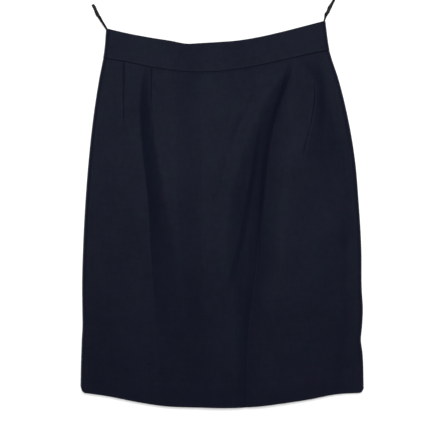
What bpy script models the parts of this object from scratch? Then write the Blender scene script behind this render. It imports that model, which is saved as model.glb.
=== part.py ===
"""Pencil skirt laid flat on its back, front up.

+X is the wearer's left, which is the right side seen from above, +Y runs from the hem to the
waist, and +Z points up from the surface it lies on. Tables and sizes are in millimetres.
"rise" is a height up the skirt from the lowest point of the hem.
"""
import math
from collections import namedtuple

import bmesh
import bpy
import numpy as np
from mathutils import Matrix, Vector

MM = 0.001
OVERALL = 660.0           # hem to the tip of the longer hanger loop
MIDDLE = OVERALL / 2      # the rise that becomes Y = 0
SEAM_GAP = 0.3            # between neighbouring pieces
PANEL_WALL = 1.5
BAND_WALL = 2.0           # the waistband is folded double

# The side seams: how far left and right of the middle they lie at each rise.
Side = namedtuple("Side", "rise left right")
SIDES = (
    Side(31, -227.2, 227.2),
    Side(88, -225.9, 225.2),
    Side(109, -225.1, 222.7),
    Side(128, -224.1, 224.5),
    Side(157, -224.3, 225.9),
    Side(190, -224.7, 224.1),
    Side(253, -223.2, 223.5),
    Side(333, -219.1, 218.9),
    Side(397, -214.1, 213.3),
    Side(461, -207.2, 202.7),
    Side(525, -197.6, 187.2),
    Side(573, -188.7, 172.1),
    Side(605, -186.1, 167.3),
    Side(620, -184.9, 165.5),
)

# The edges that run across: share of the way from the left seam to the right one, and the
# rise of the hem, of the waist seam and of the waistband's top edge there.
Edge = namedtuple("Edge", "across hem seam top")
EDGES = (
    Edge(0.00, 25.0, 559.7, 607.2),
    Edge(0.10, 18.5, 553.8, 599.0),
    Edge(0.20, 9.6, 546.2, 592.4),
    Edge(0.30, 2.8, 540.4, 586.8),
    Edge(0.37, 1.3, 537.4, 582.2),
    Edge(0.43, 0.7, 536.6, 582.9),
    Edge(0.50, 0.0, 537.5, 584.1),
    Edge(0.60, 1.2, 541.8, 587.2),
    Edge(0.70, 6.4, 549.0, 593.4),
    Edge(0.80, 13.0, 557.1, 601.4),
    Edge(0.90, 21.4, 565.4, 610.4),
    Edge(1.00, 24.0, 572.6, 619.5),
)
CORNER_REACH = 0.016      # share of the width over which the hem turns up at a side seam
LEFT_CORNER, RIGHT_CORNER = 9.0, 6.0

# A hollow: its line, how far its left and right slopes reach, how deep it is, and how much
# its left slope bends, by rise. A bend of 1 is a straight slope; more dies away more softly.
Hollow = namedtuple("Hollow", "rise x left right depth bend", defaults=(1.7,))
HOLLOWS = {
    "deep fold": (
        Hollow(556, 112.5, 6, 6, 0.2),
        Hollow(540, 108.5, 9, 9, 1.0),
        Hollow(524, 102.5, 14, 12, 2.4),
        Hollow(500, 93.5, 22, 17, 3.8),
        Hollow(476, 85.5, 27, 25, 5.0),
        Hollow(452, 78.5, 33, 36, 6.6),
        Hollow(428, 73.8, 36, 42, 7.4, 1.5),
        Hollow(397, 68.5, 40, 44, 8.0, 1.4),
        Hollow(365, 65.5, 46, 45, 8.2, 1.4),
        Hollow(317, 61, 52, 45, 8.6, 1.4),
        Hollow(269, 57.5, 54, 45, 8.8, 1.4),
        Hollow(220, 54.5, 46, 42, 8.2, 1.5),
        Hollow(173, 48, 32, 36, 6.6, 1.6),
        Hollow(124, 42, 24, 32, 4.8, 1.6),
        Hollow(60, 40, 22, 28, 3.6, 1.6),
        Hollow(0, 38, 18, 24, 2.8, 1.6),
    ),
    "faint fold": (
        Hollow(530, 62, 8, 8, 0.0),
        Hollow(500, 51, 9, 8, 0.4),
        Hollow(453, 29, 12, 10, 0.5),
        Hollow(397, 8, 14, 14, 0.5),
        Hollow(340, -4, 20, 20, 0.3),
        Hollow(290, -10, 20, 20, 0.0),
    ),
    "right edge fold": (
        Hollow(360, 206, 14, 8, 0.0),
        Hollow(300, 203, 14, 8, 0.5),
        Hollow(200, 201, 12, 8, 0.9),
        Hollow(124, 203, 12, 9, 1.0),
        Hollow(95, 197, 10, 10, 1.2),
        Hollow(60, 195, 10, 9, 1.0),
        Hollow(20, 196, 10, 9, 0.3),
    ),
}
# A rise in level: where it starts and ends from left to right, and how much it rises.
Slope = namedtuple("Slope", "rise start end height")
SLOPES = {
    "left fold": (
        Slope(556, -124, -112, 0.0),
        Slope(525, -128, -112, 2.0),
        Slope(500, -130, -112, 3.4),
        Slope(476, -131, -111, 4.8),
        Slope(428, -128, -106, 6.4),
        Slope(368, -122, -95, 7.0),
        Slope(317, -117, -86, 6.8),
        Slope(269, -115, -76, 6.2),
        Slope(220, -112, -67, 5.2),
        Slope(172, -108, -60, 3.8),
        Slope(110, -104, -54, 2.0),
        Slope(0, -100, -50, 0.8),
    ),
    "second fold": (
        Slope(456, 60, 66, 0.0),
        Slope(428, 55, 61, -1.0),
        Slope(397, 50, 56, -1.5),
        Slope(365, 45, 52, -1.7),
        Slope(317, 36, 44, -1.6),
        Slope(269, 27, 36, -1.3),
        Slope(220, 14, 24, -0.8),
        Slope(172, 2, 12, -0.3),
        Slope(110, -4, 8, 0.0),
    ),
    "middle rise": (
        Slope(560, -76, -34, 0.0),
        Slope(500, -76, -34, 1.8),
        Slope(430, -74, -32, 3.2),
        Slope(250, -68, -30, 3.8),
        Slope(172, -60, -28, 2.8),
        Slope(0, -60, -20, 0.8),
    ),
    "middle fall": (
        Slope(560, -34, 30, 0.0),
        Slope(500, -34, 34, -2.0),
        Slope(430, -34, 36, -3.8),
        Slope(300, -30, 36, -4.4),
        Slope(220, -30, 34, -3.4),
        Slope(120, -26, 24, -1.4),
        Slope(0, -20, 20, -0.4),
    ),
    "right level": (
        Slope(560, 118, 150, -0.8),
        Slope(524, 146, 170, -2.4),
        Slope(500, 146, 170, -3.4),
        Slope(470, 144, 175, -4.2),
        Slope(430, 134, 188, -5.4),
        Slope(400, 112, 200, -6.3),
        Slope(250, 92, 212, -6.9),
        Slope(100, 82, 212, -5.2),
        Slope(0, 80, 205, -3.4),
    ),
}
CREASED = ("left fold", "second fold")    # these slopes start in a crease, the others ease in
CREASE_BEND, RIGHT_BEND = 1.5, 1.9
STRAIGHT = 0.65           # how much of an eased slope is straight
PUFF, PUFF_REACH = 4.8, 8.0    # how far the front stands off the back, and from how far in
PUFF_ROUND = 1.5

# The zip lifts the middle of the back off the surface, and the front over it.
ZIP_LENGTH = 190.0
TAPE_WIDTH, TAPE_WALL, COIL_WIDTH, COIL_WALL = 22.0, 0.6, 3.6, 1.5
TAPE_GAP = 0.6            # the tape stands this far off the back's inner face
TAPE_EDGE = 0.2           # the coil's side, where the tape steps up to it
TAPE_STEP = namedtuple("Step", "below length")(12.0, 8.0)    # it climbs onto the band over this
ZIP_LEAN = namedtuple("Lean", "below length")(60.0, 40.0)    # it leans over to meet the slider
ZIP_OVERRUN = 0.4         # past the slider's middle
ZIP_LIFT = 3.3
LIFT_FLAT, LIFT_REACH = 6.0, 26.0      # half widths: fully lifted, and no longer lifted
LIFT_LENGTH, LIFT_END = 34.0, 70.0     # the same, down from the top edge
ZIP_RISE, ZIP_REACH, ZIP_FADE = 4.6, 74.0, 130.0     # over the front: height, half width, length
SLIDER_DROP = 7.0                      # slider's middle below the top edge
SLIDER_LENGTH, SLIDER_WIDTH, PLATE_WALL = 8.0, 5.0, 0.7
NECK_WIDTH, NECK_LENGTH, NECK_FORWARD = 1.4, 2.0, 1.7     # forward: towards the top edge
SLOT_HALF = 1.1                        # half the opening in the back band round the slider
BAIL_WALL, BAIL_ROOM, BAIL_WIDTH, BAIL_POST = 0.7, 1.3, 1.5, 1.65
PULL_LENGTH, PULL_WIDTH, PULL_WALL, PULL_BAR = 20.0, 4.8, 0.7, 0.6
PULL_SAG = math.radians(2.6)           # the pull rests with its end near the surface

# The pull tab is a slim drop: its half width, as a share of its width, down its length.
PullRow = namedtuple("PullRow", "down half_width")
PULL_OUTLINE = (
    PullRow(0.00, 0.36),
    PullRow(0.10, 0.40),
    PullRow(0.26, 0.36),
    PullRow(0.45, 0.34),
    PullRow(0.70, 0.46),
    PullRow(0.88, 0.50),
    PullRow(0.96, 0.40),
    PullRow(1.00, 0.20),
)
PULL_EYE = namedtuple("Eye", "width length")(2.5, 3.3)

# The back: a little smaller than the front all round, its waist lower at the middle.
BACK_INSET, BACK_DIP, BACK_HEM = 0.8, 7.0, 1.5

# Hanger loops: a narrow tape folded in half, pulled up and out from each top corner.
LOOP_WIDTH, LOOP_WALL, LOOP_ROOM = 4.4, 0.9, 0.7
LoopRun = namedtuple("LoopRun", "side base_x base_rise tip_x tip_rise bow")
LOOPS = (
    LoopRun("left", -184.2, 608.2, -207.2, 645.6, -0.8),
    LoopRun("right", 165.0, 620.6, 182.6, OVERALL, 0.8),
)
LOOP_STEPS, LOOP_BEND_STEPS = 9, 6
LOOP_BASE_WIDTH = 2.6
LOOP_TAPER = 0.25         # share of a loop over which it widens from its base

# Columns of the front panel's faces, counted between the lines they follow.
Span = namedtuple("Span", "columns until")
FRONT_SPANS = (
    Span(8, "left fold's foot"),
    Span(4, "left fold's head"),
    Span(10, "deep fold's left edge"),
    Span(7, "deep fold"),
    Span(8, "deep fold's right edge"),
    Span(12, "right seam"),
)
NARROWEST = 18.0          # a fold's edge line stays at least this far from its middle line
FRONT_ROWS, BAND_COLUMNS, BAND_ROWS = 24, 50, 3
BACK_COLUMNS, BACK_ROWS = 13, 14
BACK_CROWD_ACROSS, BACK_CROWD_UP = 1.35, 1.4     # faces grow smaller towards the zip
OPEN_REACH = 0.06         # share of the width over which the centre seam is drawn aside
BACK_BAND_ROWS = (0, 0.3, 0.6)         # below the slot round the slider, as shares up the band
SLOT_EASE = namedtuple("Ease", "below above")(2.0, 1.0)      # where the slot starts
TAPE_ROWS = 20
LINE_ROUNDS = 6

WOOL = (0.011, 0.013, 0.021, 1.0)
TAPE = (0.010, 0.011, 0.018, 1.0)
METAL = (0.10, 0.11, 0.13, 1.0)
WOOL_ROUGHNESS, TAPE_ROUGHNESS, METAL_ROUGHNESS = 0.85, 0.7, 0.35


def curve(places, values):
    """A smooth function through the given values at the given places."""
    places, values = np.array(places, float), np.array(values, float)
    if places[0] > places[-1]:
        places, values = places[::-1], values[::-1]
    slopes = np.gradient(values, places)

    def at(place):
        place = np.clip(place, places[0], places[-1])
        start = np.clip(np.searchsorted(places, place) - 1, 0, len(places) - 2)
        span = places[start + 1] - places[start]
        share = (place - places[start]) / span
        rest = 1 - share
        ends = rest**2 * (1 + 2 * share) * values[start] + share**2 * (1 + 2 * rest) * values[start + 1]
        turns = span * share * rest * (rest * slopes[start] - share * slopes[start + 1])
        return ends + turns

    return at


def column(table, place, value):
    return curve([getattr(row, place) for row in table], [getattr(row, value) for row in table])


def ease(share):
    """0 to 1, level at both ends."""
    share = np.clip(share, 0, 1)
    return share * share * (3 - 2 * share)


left_seam = column(SIDES, "rise", "left")
right_seam = column(SIDES, "rise", "right")
waist_seam = column(EDGES, "across", "seam")
top_edge = column(EDGES, "across", "top")
plain_hem = column(EDGES, "across", "hem")


def hem(across):
    left = LEFT_CORNER * ease(1 - across / CORNER_REACH) ** 2
    right = RIGHT_CORNER * ease(1 - (1 - across) / CORNER_REACH) ** 2
    return plain_hem(across) + left + right


def back_hem(across):
    return hem(across) + BACK_HEM


def back_seam(across):
    return waist_seam(across) - BACK_DIP * np.sin(np.pi * across)


def back_top(across):
    return top_edge(across) - BACK_DIP * np.sin(np.pi * across)


def middle_x(rise):
    """The centre back seam's line: halfway along the row of the back that crosses it there."""
    lines = (back_hem, back_seam, back_top)
    marks = [line(0.5) for line in lines]
    left_rise = np.interp(rise, marks, [line(0.0) for line in lines])
    right_rise = np.interp(rise, marks, [line(1.0) for line in lines])
    return (left_seam(left_rise) + right_seam(right_rise)) / 2


def share_across(x, rise):
    return (x - left_seam(rise)) / (right_seam(rise) - left_seam(rise))


def hollow(rows, x, rise):
    """A crease: sharpest on its line, its slopes dying away to each side."""
    line = column(rows, "rise", "x")(rise)
    left = column(rows, "rise", "left")(rise)
    right = column(rows, "rise", "right")(rise)
    depth = np.interp(rise, [row.rise for row in rows[::-1]], [row.depth for row in rows[::-1]])
    bend = np.interp(rise, [row.rise for row in rows[::-1]], [row.bend for row in rows[::-1]])
    to_left = np.clip(1 - (line - x) / left, 0, 1) ** bend
    to_right = np.clip(1 - (x - line) / right, 0, 1) ** RIGHT_BEND
    return -depth * np.where(x < line, to_left, to_right)


def slope(rows, x, rise, creased):
    """A change of level between two lines."""
    start = column(rows, "rise", "start")(rise)
    end = column(rows, "rise", "end")(rise)
    height = np.interp(rise, [row.rise for row in rows[::-1]], [row.height for row in rows[::-1]])
    share = np.clip((x - start) / (end - start), 0, 1)
    if creased:
        return height * (1 - (1 - share) ** CREASE_BEND)
    return height * (STRAIGHT * share + (1 - STRAIGHT) * ease(share))


def zip_lift(x, rise):
    """How far the zip pull holds the back off the surface."""
    aside = np.abs(x - middle_x(rise))
    down = back_top(share_across(x, rise)) - rise
    across = ease((LIFT_REACH - aside) / (LIFT_REACH - LIFT_FLAT))
    along = ease((LIFT_END - down) / (LIFT_END - LIFT_LENGTH))
    return ZIP_LIFT * across * along


def over_zip(x, rise):
    """How far the front is lifted by the zip under it."""
    down = waist_seam(share_across(x, rise)) - rise
    aside = np.abs(x - middle_x(rise)) / ZIP_REACH
    return ZIP_RISE * ease(1 - aside) * ease((ZIP_FADE - down) / ZIP_FADE)


def off_sides(x, rise):
    """0 on a side seam and 1 beyond the soft roll beside it."""
    inward = np.minimum(x - left_seam(rise), right_seam(rise) - x)
    return 1 - (1 - ease(inward / PUFF_REACH)) ** PUFF_ROUND


def front_lift(x, rise):
    """How far the front panel stands above where its edges lie."""
    shape = PUFF + sum(slope(rows, x, rise, name in CREASED) for name, rows in SLOPES.items())
    shape = shape + sum(hollow(rows, x, rise) for rows in HOLLOWS.values())
    return off_sides(x, rise) * np.maximum(shape, 0) + over_zip(x, rise)


def patch(lower, upper, across, up, inset=0.0):
    """x and rise of the points between two edge lines; shares across may differ by row."""
    across = np.broadcast_to(across, (len(up), np.shape(across)[-1]))
    up = np.array(up)[:, None]
    rise = lower(across) * (1 - up) + upper(across) * up
    left_rise = lower(0.0) * (1 - up) + upper(0.0) * up
    right_rise = lower(1.0) * (1 - up) + upper(1.0) * up
    left = left_seam(left_rise) + inset
    right = right_seam(right_rise) - inset
    return left * (1 - across) + right * across, rise


def line_shares(line, lower, upper, up):
    """Where a line down the cloth crosses each row of a patch, as shares across."""
    shares = np.full((len(up), 1), 0.5)
    for _ in range(LINE_ROUNDS):
        x, rise = patch(lower, upper, np.hstack([shares * 0, shares, shares * 0 + 1]), up)
        shares = ((line(rise[:, 1]) - x[:, 0]) / (x[:, 2] - x[:, 0])).clip(0, 1)[:, None]
    return shares[:, 0]


def front_across(lower, upper, up):
    """Shares across the front panel, row by row, with columns that follow its folds."""
    foot = column(SLOPES["left fold"], "rise", "start")
    head = column(SLOPES["left fold"], "rise", "end")
    deep = HOLLOWS["deep fold"]
    middle = column(deep, "rise", "x")
    left, right = column(deep, "rise", "left"), column(deep, "rise", "right")
    lines = {
        "left fold's foot": foot,
        "left fold's head": head,
        "deep fold's left edge": lambda rise: middle(rise) - np.maximum(left(rise), NARROWEST),
        "deep fold": middle,
        "deep fold's right edge": lambda rise: middle(rise) + np.maximum(right(rise), NARROWEST),
    }
    shares = [np.zeros((len(up), 1))]
    for span in FRONT_SPANS:
        start = shares[-1][:, -1:]
        end = line_shares(lines[span.until], lower, upper, up)[:, None] if span.until in lines else 1.0
        steps = np.linspace(0, 1, span.columns + 1)[1:]
        shares.append(start + (end - start) * steps)
    return np.hstack(shares)


def stacked(x, rise, z):
    return np.stack([x, rise - MIDDLE, z], axis=-1)


def new_object(name, mesh, colour, roughness, metallic=0.0):
    material = bpy.data.materials.new(name + "_finish")
    material.use_nodes = True
    shader = material.node_tree.nodes["Principled BSDF"]
    shader.inputs["Base Color"].default_value = colour
    shader.inputs["Roughness"].default_value = roughness
    shader.inputs["Metallic"].default_value = metallic
    mesh.materials.append(material)
    mesh.shade_smooth()
    mesh.set_sharp_from_angle(angle=math.radians(40))
    built = bpy.data.objects.new(name, mesh)
    bpy.context.scene.collection.objects.link(built)
    return built


def wall_mesh(name, under, over):
    """A closed wall between two matching grids of points, the first below the second."""
    rows, columns = under.shape[:2]
    shape = bmesh.new()
    layers = []
    for grid in (under, over):
        layers.append([[shape.verts.new(Vector(point) * MM) for point in row] for row in grid])
    below, above = layers
    for row in range(rows - 1):
        for place in range(columns - 1):
            for layer, turned in ((below, True), (above, False)):
                corners = [layer[row][place], layer[row][place + 1],
                           layer[row + 1][place + 1], layer[row + 1][place]]
                shape.faces.new(corners[::-1] if turned else corners)
    rim = [(0, place) for place in range(columns - 1)]
    rim += [(row, columns - 1) for row in range(rows - 1)]
    rim += [(rows - 1, place) for place in range(columns - 1, 0, -1)]
    rim += [(row, 0) for row in range(rows - 1, 0, -1)]
    for (row, place), (next_row, next_place) in zip(rim, rim[1:] + rim[:1]):
        shape.faces.new([below[row][place], below[next_row][next_place],
                         above[next_row][next_place], above[row][place]])
    mesh = bpy.data.meshes.new(name)
    shape.to_mesh(mesh)
    shape.free()
    return mesh


def wall(name, x, rise, underside, thickness, colour=WOOL, roughness=WOOL_ROUGHNESS):
    under = stacked(x, rise, underside)
    over = stacked(x, rise, underside + thickness)
    return new_object(name, wall_mesh(name, under, over), colour, roughness)


def seam_side(line, away):
    """An edge line moved half a seam gap away from it."""
    return lambda across: line(across) + away * SEAM_GAP / 2


def front_panel():
    up = np.linspace(0, 1, FRONT_ROWS + 1)
    upper = seam_side(waist_seam, -1)
    x, rise = patch(hem, upper, front_across(hem, upper, up), up)
    wall("front_panel", x, rise, PANEL_WALL + SEAM_GAP + front_lift(x, rise), PANEL_WALL)


def waistband_front():
    across = np.linspace(0, 1, BAND_COLUMNS + 1)
    x, rise = patch(seam_side(waist_seam, 1), top_edge, across, np.linspace(0, 1, BAND_ROWS + 1))
    lift = PUFF * off_sides(x, rise) + over_zip(x, rise)
    wall("waistband_front", x, rise, BAND_WALL + SEAM_GAP + lift, BAND_WALL)


def half_across(side, columns):
    """Shares across one half of the back, closer together towards the middle."""
    out = np.linspace(0, 1, columns + 1) ** BACK_CROWD_ACROSS
    return 0.5 * (1 - out[::-1]) if side == "left" else 0.5 * (1 + out)


def opened(x, across, side, half_gap):
    """Pulls the edge at the centre back seam aside by half the gap there."""
    reach = ease(1 - np.abs(across - 0.5) / OPEN_REACH)
    return x + reach * half_gap * (-1 if side == "left" else 1)


def back_panel(side):
    across = half_across(side, BACK_COLUMNS)
    up = 1 - np.linspace(0, 1, BACK_ROWS + 1)[::-1] ** BACK_CROWD_UP
    x, rise = patch(back_hem, seam_side(back_seam, -1), across, up, BACK_INSET)
    x = opened(x, across, side, SEAM_GAP / 2)
    wall("back_panel_" + side, x, rise, zip_lift(x, rise), PANEL_WALL)


def waistband_back(side):
    across = half_across(side, BACK_COLUMNS)
    height = back_top(0.5) - back_seam(0.5)
    slot_foot = SLIDER_DROP + SLIDER_LENGTH / 2
    slot_start, slot_end = slot_foot + SLOT_EASE.below, slot_foot - SLOT_EASE.above
    up = np.array([*BACK_BAND_ROWS, 1 - slot_start / height, 1 - slot_end / height, 1])
    x, rise = patch(seam_side(back_seam, 1), back_top, across, up, BACK_INSET)
    half_gap = np.where(up > 1 - slot_foot / height, SLOT_HALF, SEAM_GAP / 2)
    x = opened(x, across, side, half_gap[:, None])
    wall("waistband_back_" + side, x, rise, zip_lift(x, rise), BAND_WALL)


def slider_place():
    """Where the zip ends: x and rise of the slider's middle, just under the back's top edge."""
    rise = back_top(0.5) - SLIDER_DROP
    return middle_x(rise), rise


def zip_tape():
    slider_x, slider_rise = slider_place()
    start = slider_rise + ZIP_OVERRUN
    rises = np.linspace(start - ZIP_LENGTH, start, TAPE_ROWS)
    half_tape, half_coil = TAPE_WIDTH / 2, COIL_WIDTH / 2
    step_out = half_coil + TAPE_EDGE
    offsets = np.array([-half_tape, -step_out, -half_coil, half_coil, step_out, half_tape])
    walls = np.array([TAPE_WALL, TAPE_WALL, COIL_WALL, COIL_WALL, TAPE_WALL, TAPE_WALL])
    offset, rise = np.meshgrid(offsets, rises)
    lean = ease((rise - start + ZIP_LEAN.below) / ZIP_LEAN.length)
    line = middle_x(rise) * (1 - lean) + slider_x * lean
    x = line + offset
    above_seam = rise - back_seam(share_across(x, rise))
    step = ease((above_seam + TAPE_STEP.below) / TAPE_STEP.length)
    lies_on = zip_lift(x, rise) + PANEL_WALL + (BAND_WALL - PANEL_WALL) * step
    wall("zip_tape", x, rise, lies_on + TAPE_GAP, walls, TAPE, TAPE_ROUGHNESS)


def box(centre, size):
    """A closed box as (centre, size), both in millimetres."""
    shape = bmesh.new()
    place = Matrix.Translation(Vector(centre) * MM) @ Matrix.Diagonal((*[s * MM for s in size], 1.0))
    bmesh.ops.create_cube(shape, size=1.0, matrix=place)
    return shape


def joined(name, parts, colour, roughness, metallic):
    """One closed body from overlapping boxes."""
    first = None
    for part in parts:
        mesh = bpy.data.meshes.new(name + "_piece")
        part.to_mesh(mesh)
        part.free()
        if first is None:
            first = new_object(name, mesh, colour, roughness, metallic)
            continue
        other = bpy.data.objects.new(name + "_piece", mesh)
        bpy.context.scene.collection.objects.link(other)
        other.hide_render = True
        other.display_type = "WIRE"
        union = first.modifiers.new("union", "BOOLEAN")
        union.operation = "UNION"
        union.solver = "EXACT"
        union.object = other
    return first


def pivot_height():
    return SEAM_GAP + BAIL_WALL + BAIL_ROOM / 2


def zip_slider():
    x, rise = slider_place()
    y = rise - MIDDLE
    plate_z = ZIP_LIFT - SEAM_GAP - PLATE_WALL / 2
    inner_z = ZIP_LIFT + BAND_WALL + TAPE_GAP + COIL_WALL + SEAM_GAP + PLATE_WALL / 2
    neck_y = y + NECK_FORWARD
    bail_z = SEAM_GAP + BAIL_WALL / 2
    post_size = (BAIL_WIDTH, BAIL_WALL, plate_z - SEAM_GAP)
    post_z = (plate_z + SEAM_GAP) / 2
    parts = [
        box((x, y, plate_z), (SLIDER_WIDTH, SLIDER_LENGTH, PLATE_WALL)),
        box((x, y, inner_z), (SLIDER_WIDTH, SLIDER_LENGTH, PLATE_WALL)),
        box((x, neck_y, (plate_z + inner_z) / 2), (NECK_WIDTH, NECK_LENGTH, inner_z - plate_z)),
        box((x, y, bail_z), (BAIL_WIDTH, 2 * BAIL_POST + BAIL_WALL, BAIL_WALL)),
        box((x, y - BAIL_POST, post_z), post_size),
        box((x, y + BAIL_POST, post_z), post_size),
    ]
    joined("zip_slider", parts, METAL, METAL_ROUGHNESS, 1.0)


def zip_pull():
    """The tab hangs from the bail by a bar, which is the hinge, and has an eye for the bail."""
    x, rise = slider_place()
    bar, eye_half, eye_length = PULL_BAR, PULL_EYE.width / 2, PULL_EYE.length
    shape = bmesh.new()
    outline = [(row.half_width * PULL_WIDTH, row.down * PULL_LENGTH) for row in PULL_OUTLINE]
    ring = [(side, -down) for side, down in outline] + [(-side, -down) for side, down in outline[::-1]]
    start = bar / 2
    lower = [shape.verts.new(Vector((px, py + start, -PULL_WALL / 2)) * MM) for px, py in ring]
    shape.faces.new(lower[::-1])
    raised = bmesh.ops.extrude_face_region(shape, geom=shape.faces[:])
    top = [item for item in raised["geom"] if isinstance(item, bmesh.types.BMVert)]
    bmesh.ops.translate(shape, verts=top, vec=(0, 0, PULL_WALL * MM))
    bmesh.ops.recalc_face_normals(shape, faces=shape.faces)
    tab = joined("zip_pull", [shape], METAL, METAL_ROUGHNESS, 1.0)
    eye = box((0, -bar / 2 - eye_length / 2, 0), (2 * eye_half, eye_length, 4 * PULL_WALL))
    mesh = bpy.data.meshes.new("pull_eye")
    eye.to_mesh(mesh)
    eye.free()
    cutter = bpy.data.objects.new("pull_eye", mesh)
    bpy.context.scene.collection.objects.link(cutter)
    cutter.hide_render = True
    cutter.display_type = "WIRE"
    cut = tab.modifiers.new("eye", "BOOLEAN")
    cut.operation = "DIFFERENCE"
    cut.solver = "EXACT"
    cut.object = cutter
    for piece in (tab, cutter):
        piece.location = Vector((x, rise - MIDDLE, pivot_height())) * MM
        piece.rotation_euler.x = PULL_SAG


def hanger_loop(run):
    """Two strands of tape, one over the other, joined by a round bend at the tip."""
    base = Vector((run.base_x, run.base_rise - MIDDLE, 0))
    tip = Vector((run.tip_x, run.tip_rise - MIDDLE, 0))
    along = (tip - base).normalized()
    aside = Vector((-along.y, along.x, 0))
    bend = (2 * LOOP_WALL + LOOP_ROOM) / 2
    reach = (tip - base).length - bend - (LOOP_WIDTH / 2) * abs(along.x)
    low, high = LOOP_WALL / 2, LOOP_WALL * 1.5 + LOOP_ROOM
    stations = []
    for step in range(LOOP_STEPS + 1):
        share = step / LOOP_STEPS
        stations.append((share * reach, low, 1.0, 0.0))
    for step in range(1, LOOP_BEND_STEPS):
        turn = math.pi * step / LOOP_BEND_STEPS
        round_z = (low + high) / 2 - math.cos(turn) * (high - low) / 2
        round_out = reach + math.sin(turn) * (high - low) / 2
        stations.append((round_out, round_z, math.cos(turn), math.sin(turn)))
    for step in range(LOOP_STEPS, -1, -1):
        share = step / LOOP_STEPS
        stations.append((share * reach, high, -1.0, 0.0))
    inner, outer = [], []
    for distance, z, up, out in stations:
        share = min(distance / reach, 1.0)
        width = LOOP_BASE_WIDTH + (LOOP_WIDTH - LOOP_BASE_WIDTH) * float(ease(share / LOOP_TAPER))
        middle = base + along * distance + aside * (run.bow * math.sin(math.pi * share))
        normal = Vector((0, 0, up)) - along * out
        for rows, away in ((inner, LOOP_WALL / 2), (outer, -LOOP_WALL / 2)):
            centre = middle + Vector((0, 0, z)) + normal * away
            rows.append([centre + aside * width / 2, centre - aside * width / 2])
    mesh = wall_mesh("hanger_loop_" + run.side, np.array(outer), np.array(inner))
    shape = bmesh.new()
    shape.from_mesh(mesh)
    bmesh.ops.recalc_face_normals(shape, faces=shape.faces)
    shape.to_mesh(mesh)
    shape.free()
    new_object("hanger_loop_" + run.side, mesh, TAPE, TAPE_ROUGHNESS)


def main():
    for old in list(bpy.data.objects):
        bpy.data.objects.remove(old, do_unlink=True)
    front_panel()
    waistband_front()
    for side in ("left", "right"):
        back_panel(side)
        waistband_back(side)
    zip_tape()
    zip_slider()
    zip_pull()
    for run in LOOPS:
        hanger_loop(run)


main()
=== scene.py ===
"""A navy wool pencil skirt, laid flat on its back on a pale surface.

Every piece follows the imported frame: +X right, +Y from hem to waist, +Z up from the surface.
Shapes are worked out in millimetres and turned into metres when a mesh is made. "rise" is a
height up the skirt from the lowest point of the hem.
"""
import math
from collections import namedtuple

import bmesh
import bpy
import numpy as np
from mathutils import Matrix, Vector


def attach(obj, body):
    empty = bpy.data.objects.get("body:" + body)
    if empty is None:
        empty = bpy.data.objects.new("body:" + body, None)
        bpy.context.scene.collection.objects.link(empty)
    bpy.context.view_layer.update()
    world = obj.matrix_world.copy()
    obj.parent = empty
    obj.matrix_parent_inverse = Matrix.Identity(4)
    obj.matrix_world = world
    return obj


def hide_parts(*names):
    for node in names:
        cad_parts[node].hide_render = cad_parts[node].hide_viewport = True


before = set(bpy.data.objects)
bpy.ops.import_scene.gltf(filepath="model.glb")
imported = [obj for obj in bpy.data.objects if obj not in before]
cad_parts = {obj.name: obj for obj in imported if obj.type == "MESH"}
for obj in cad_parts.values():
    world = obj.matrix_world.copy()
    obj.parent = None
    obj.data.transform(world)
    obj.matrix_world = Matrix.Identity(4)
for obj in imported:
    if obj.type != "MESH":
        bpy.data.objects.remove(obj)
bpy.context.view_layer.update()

MM = 0.001
MIDDLE = 330.0            # the rise that lies at Y = 0
SKIRT, PULL = "skirt", "pull"
HALVES = {"left": -1, "right": 1}

# ---- sizes of the cut, the same as the frame's -------------------------------------------

Side = namedtuple("Side", "rise left right")
SIDES = (
    Side(31, -227.2, 227.2),
    Side(88, -225.9, 225.2),
    Side(109, -225.1, 222.7),
    Side(128, -224.1, 224.5),
    Side(157, -224.3, 225.9),
    Side(190, -224.7, 224.1),
    Side(253, -223.2, 223.5),
    Side(333, -219.1, 218.9),
    Side(397, -214.1, 213.3),
    Side(461, -207.2, 202.7),
    Side(525, -197.6, 187.2),
    Side(573, -188.7, 172.1),
    Side(605, -186.1, 167.3),
    Side(620, -184.9, 165.5),
)
Edge = namedtuple("Edge", "across hem seam top")
EDGES = (
    Edge(0.00, 25.0, 559.7, 607.2),
    Edge(0.10, 18.5, 553.8, 599.0),
    Edge(0.20, 9.6, 546.2, 592.4),
    Edge(0.30, 2.8, 540.4, 586.8),
    Edge(0.37, 1.3, 537.4, 582.2),
    Edge(0.43, 0.7, 536.6, 582.9),
    Edge(0.50, 0.0, 537.5, 584.1),
    Edge(0.60, 1.2, 541.8, 587.2),
    Edge(0.70, 6.4, 549.0, 593.4),
    Edge(0.80, 13.0, 557.1, 601.4),
    Edge(0.90, 21.4, 565.4, 610.4),
    Edge(1.00, 24.0, 572.6, 619.5),
)
# The hem turns up in this share of the width to the side seams, by so much left and right.
CORNER_REACH, LEFT_CORNER, RIGHT_CORNER = 0.016, 9.0, 6.0
BACK_INSET, BACK_DIP, BACK_HEM = 0.8, 7.0, 1.5
SEAM_GAP = 0.3
BACK_BED = 0.12                    # the back's underside, just clear of the surface
FRONT_BED, BAND_BED = 1.8, 2.3     # where the front's and the front band's undersides lie
PANEL_WALL, BAND_WALL = 1.5, 2.0

# ---- the lie of the front -----------------------------------------------------------------

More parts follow.
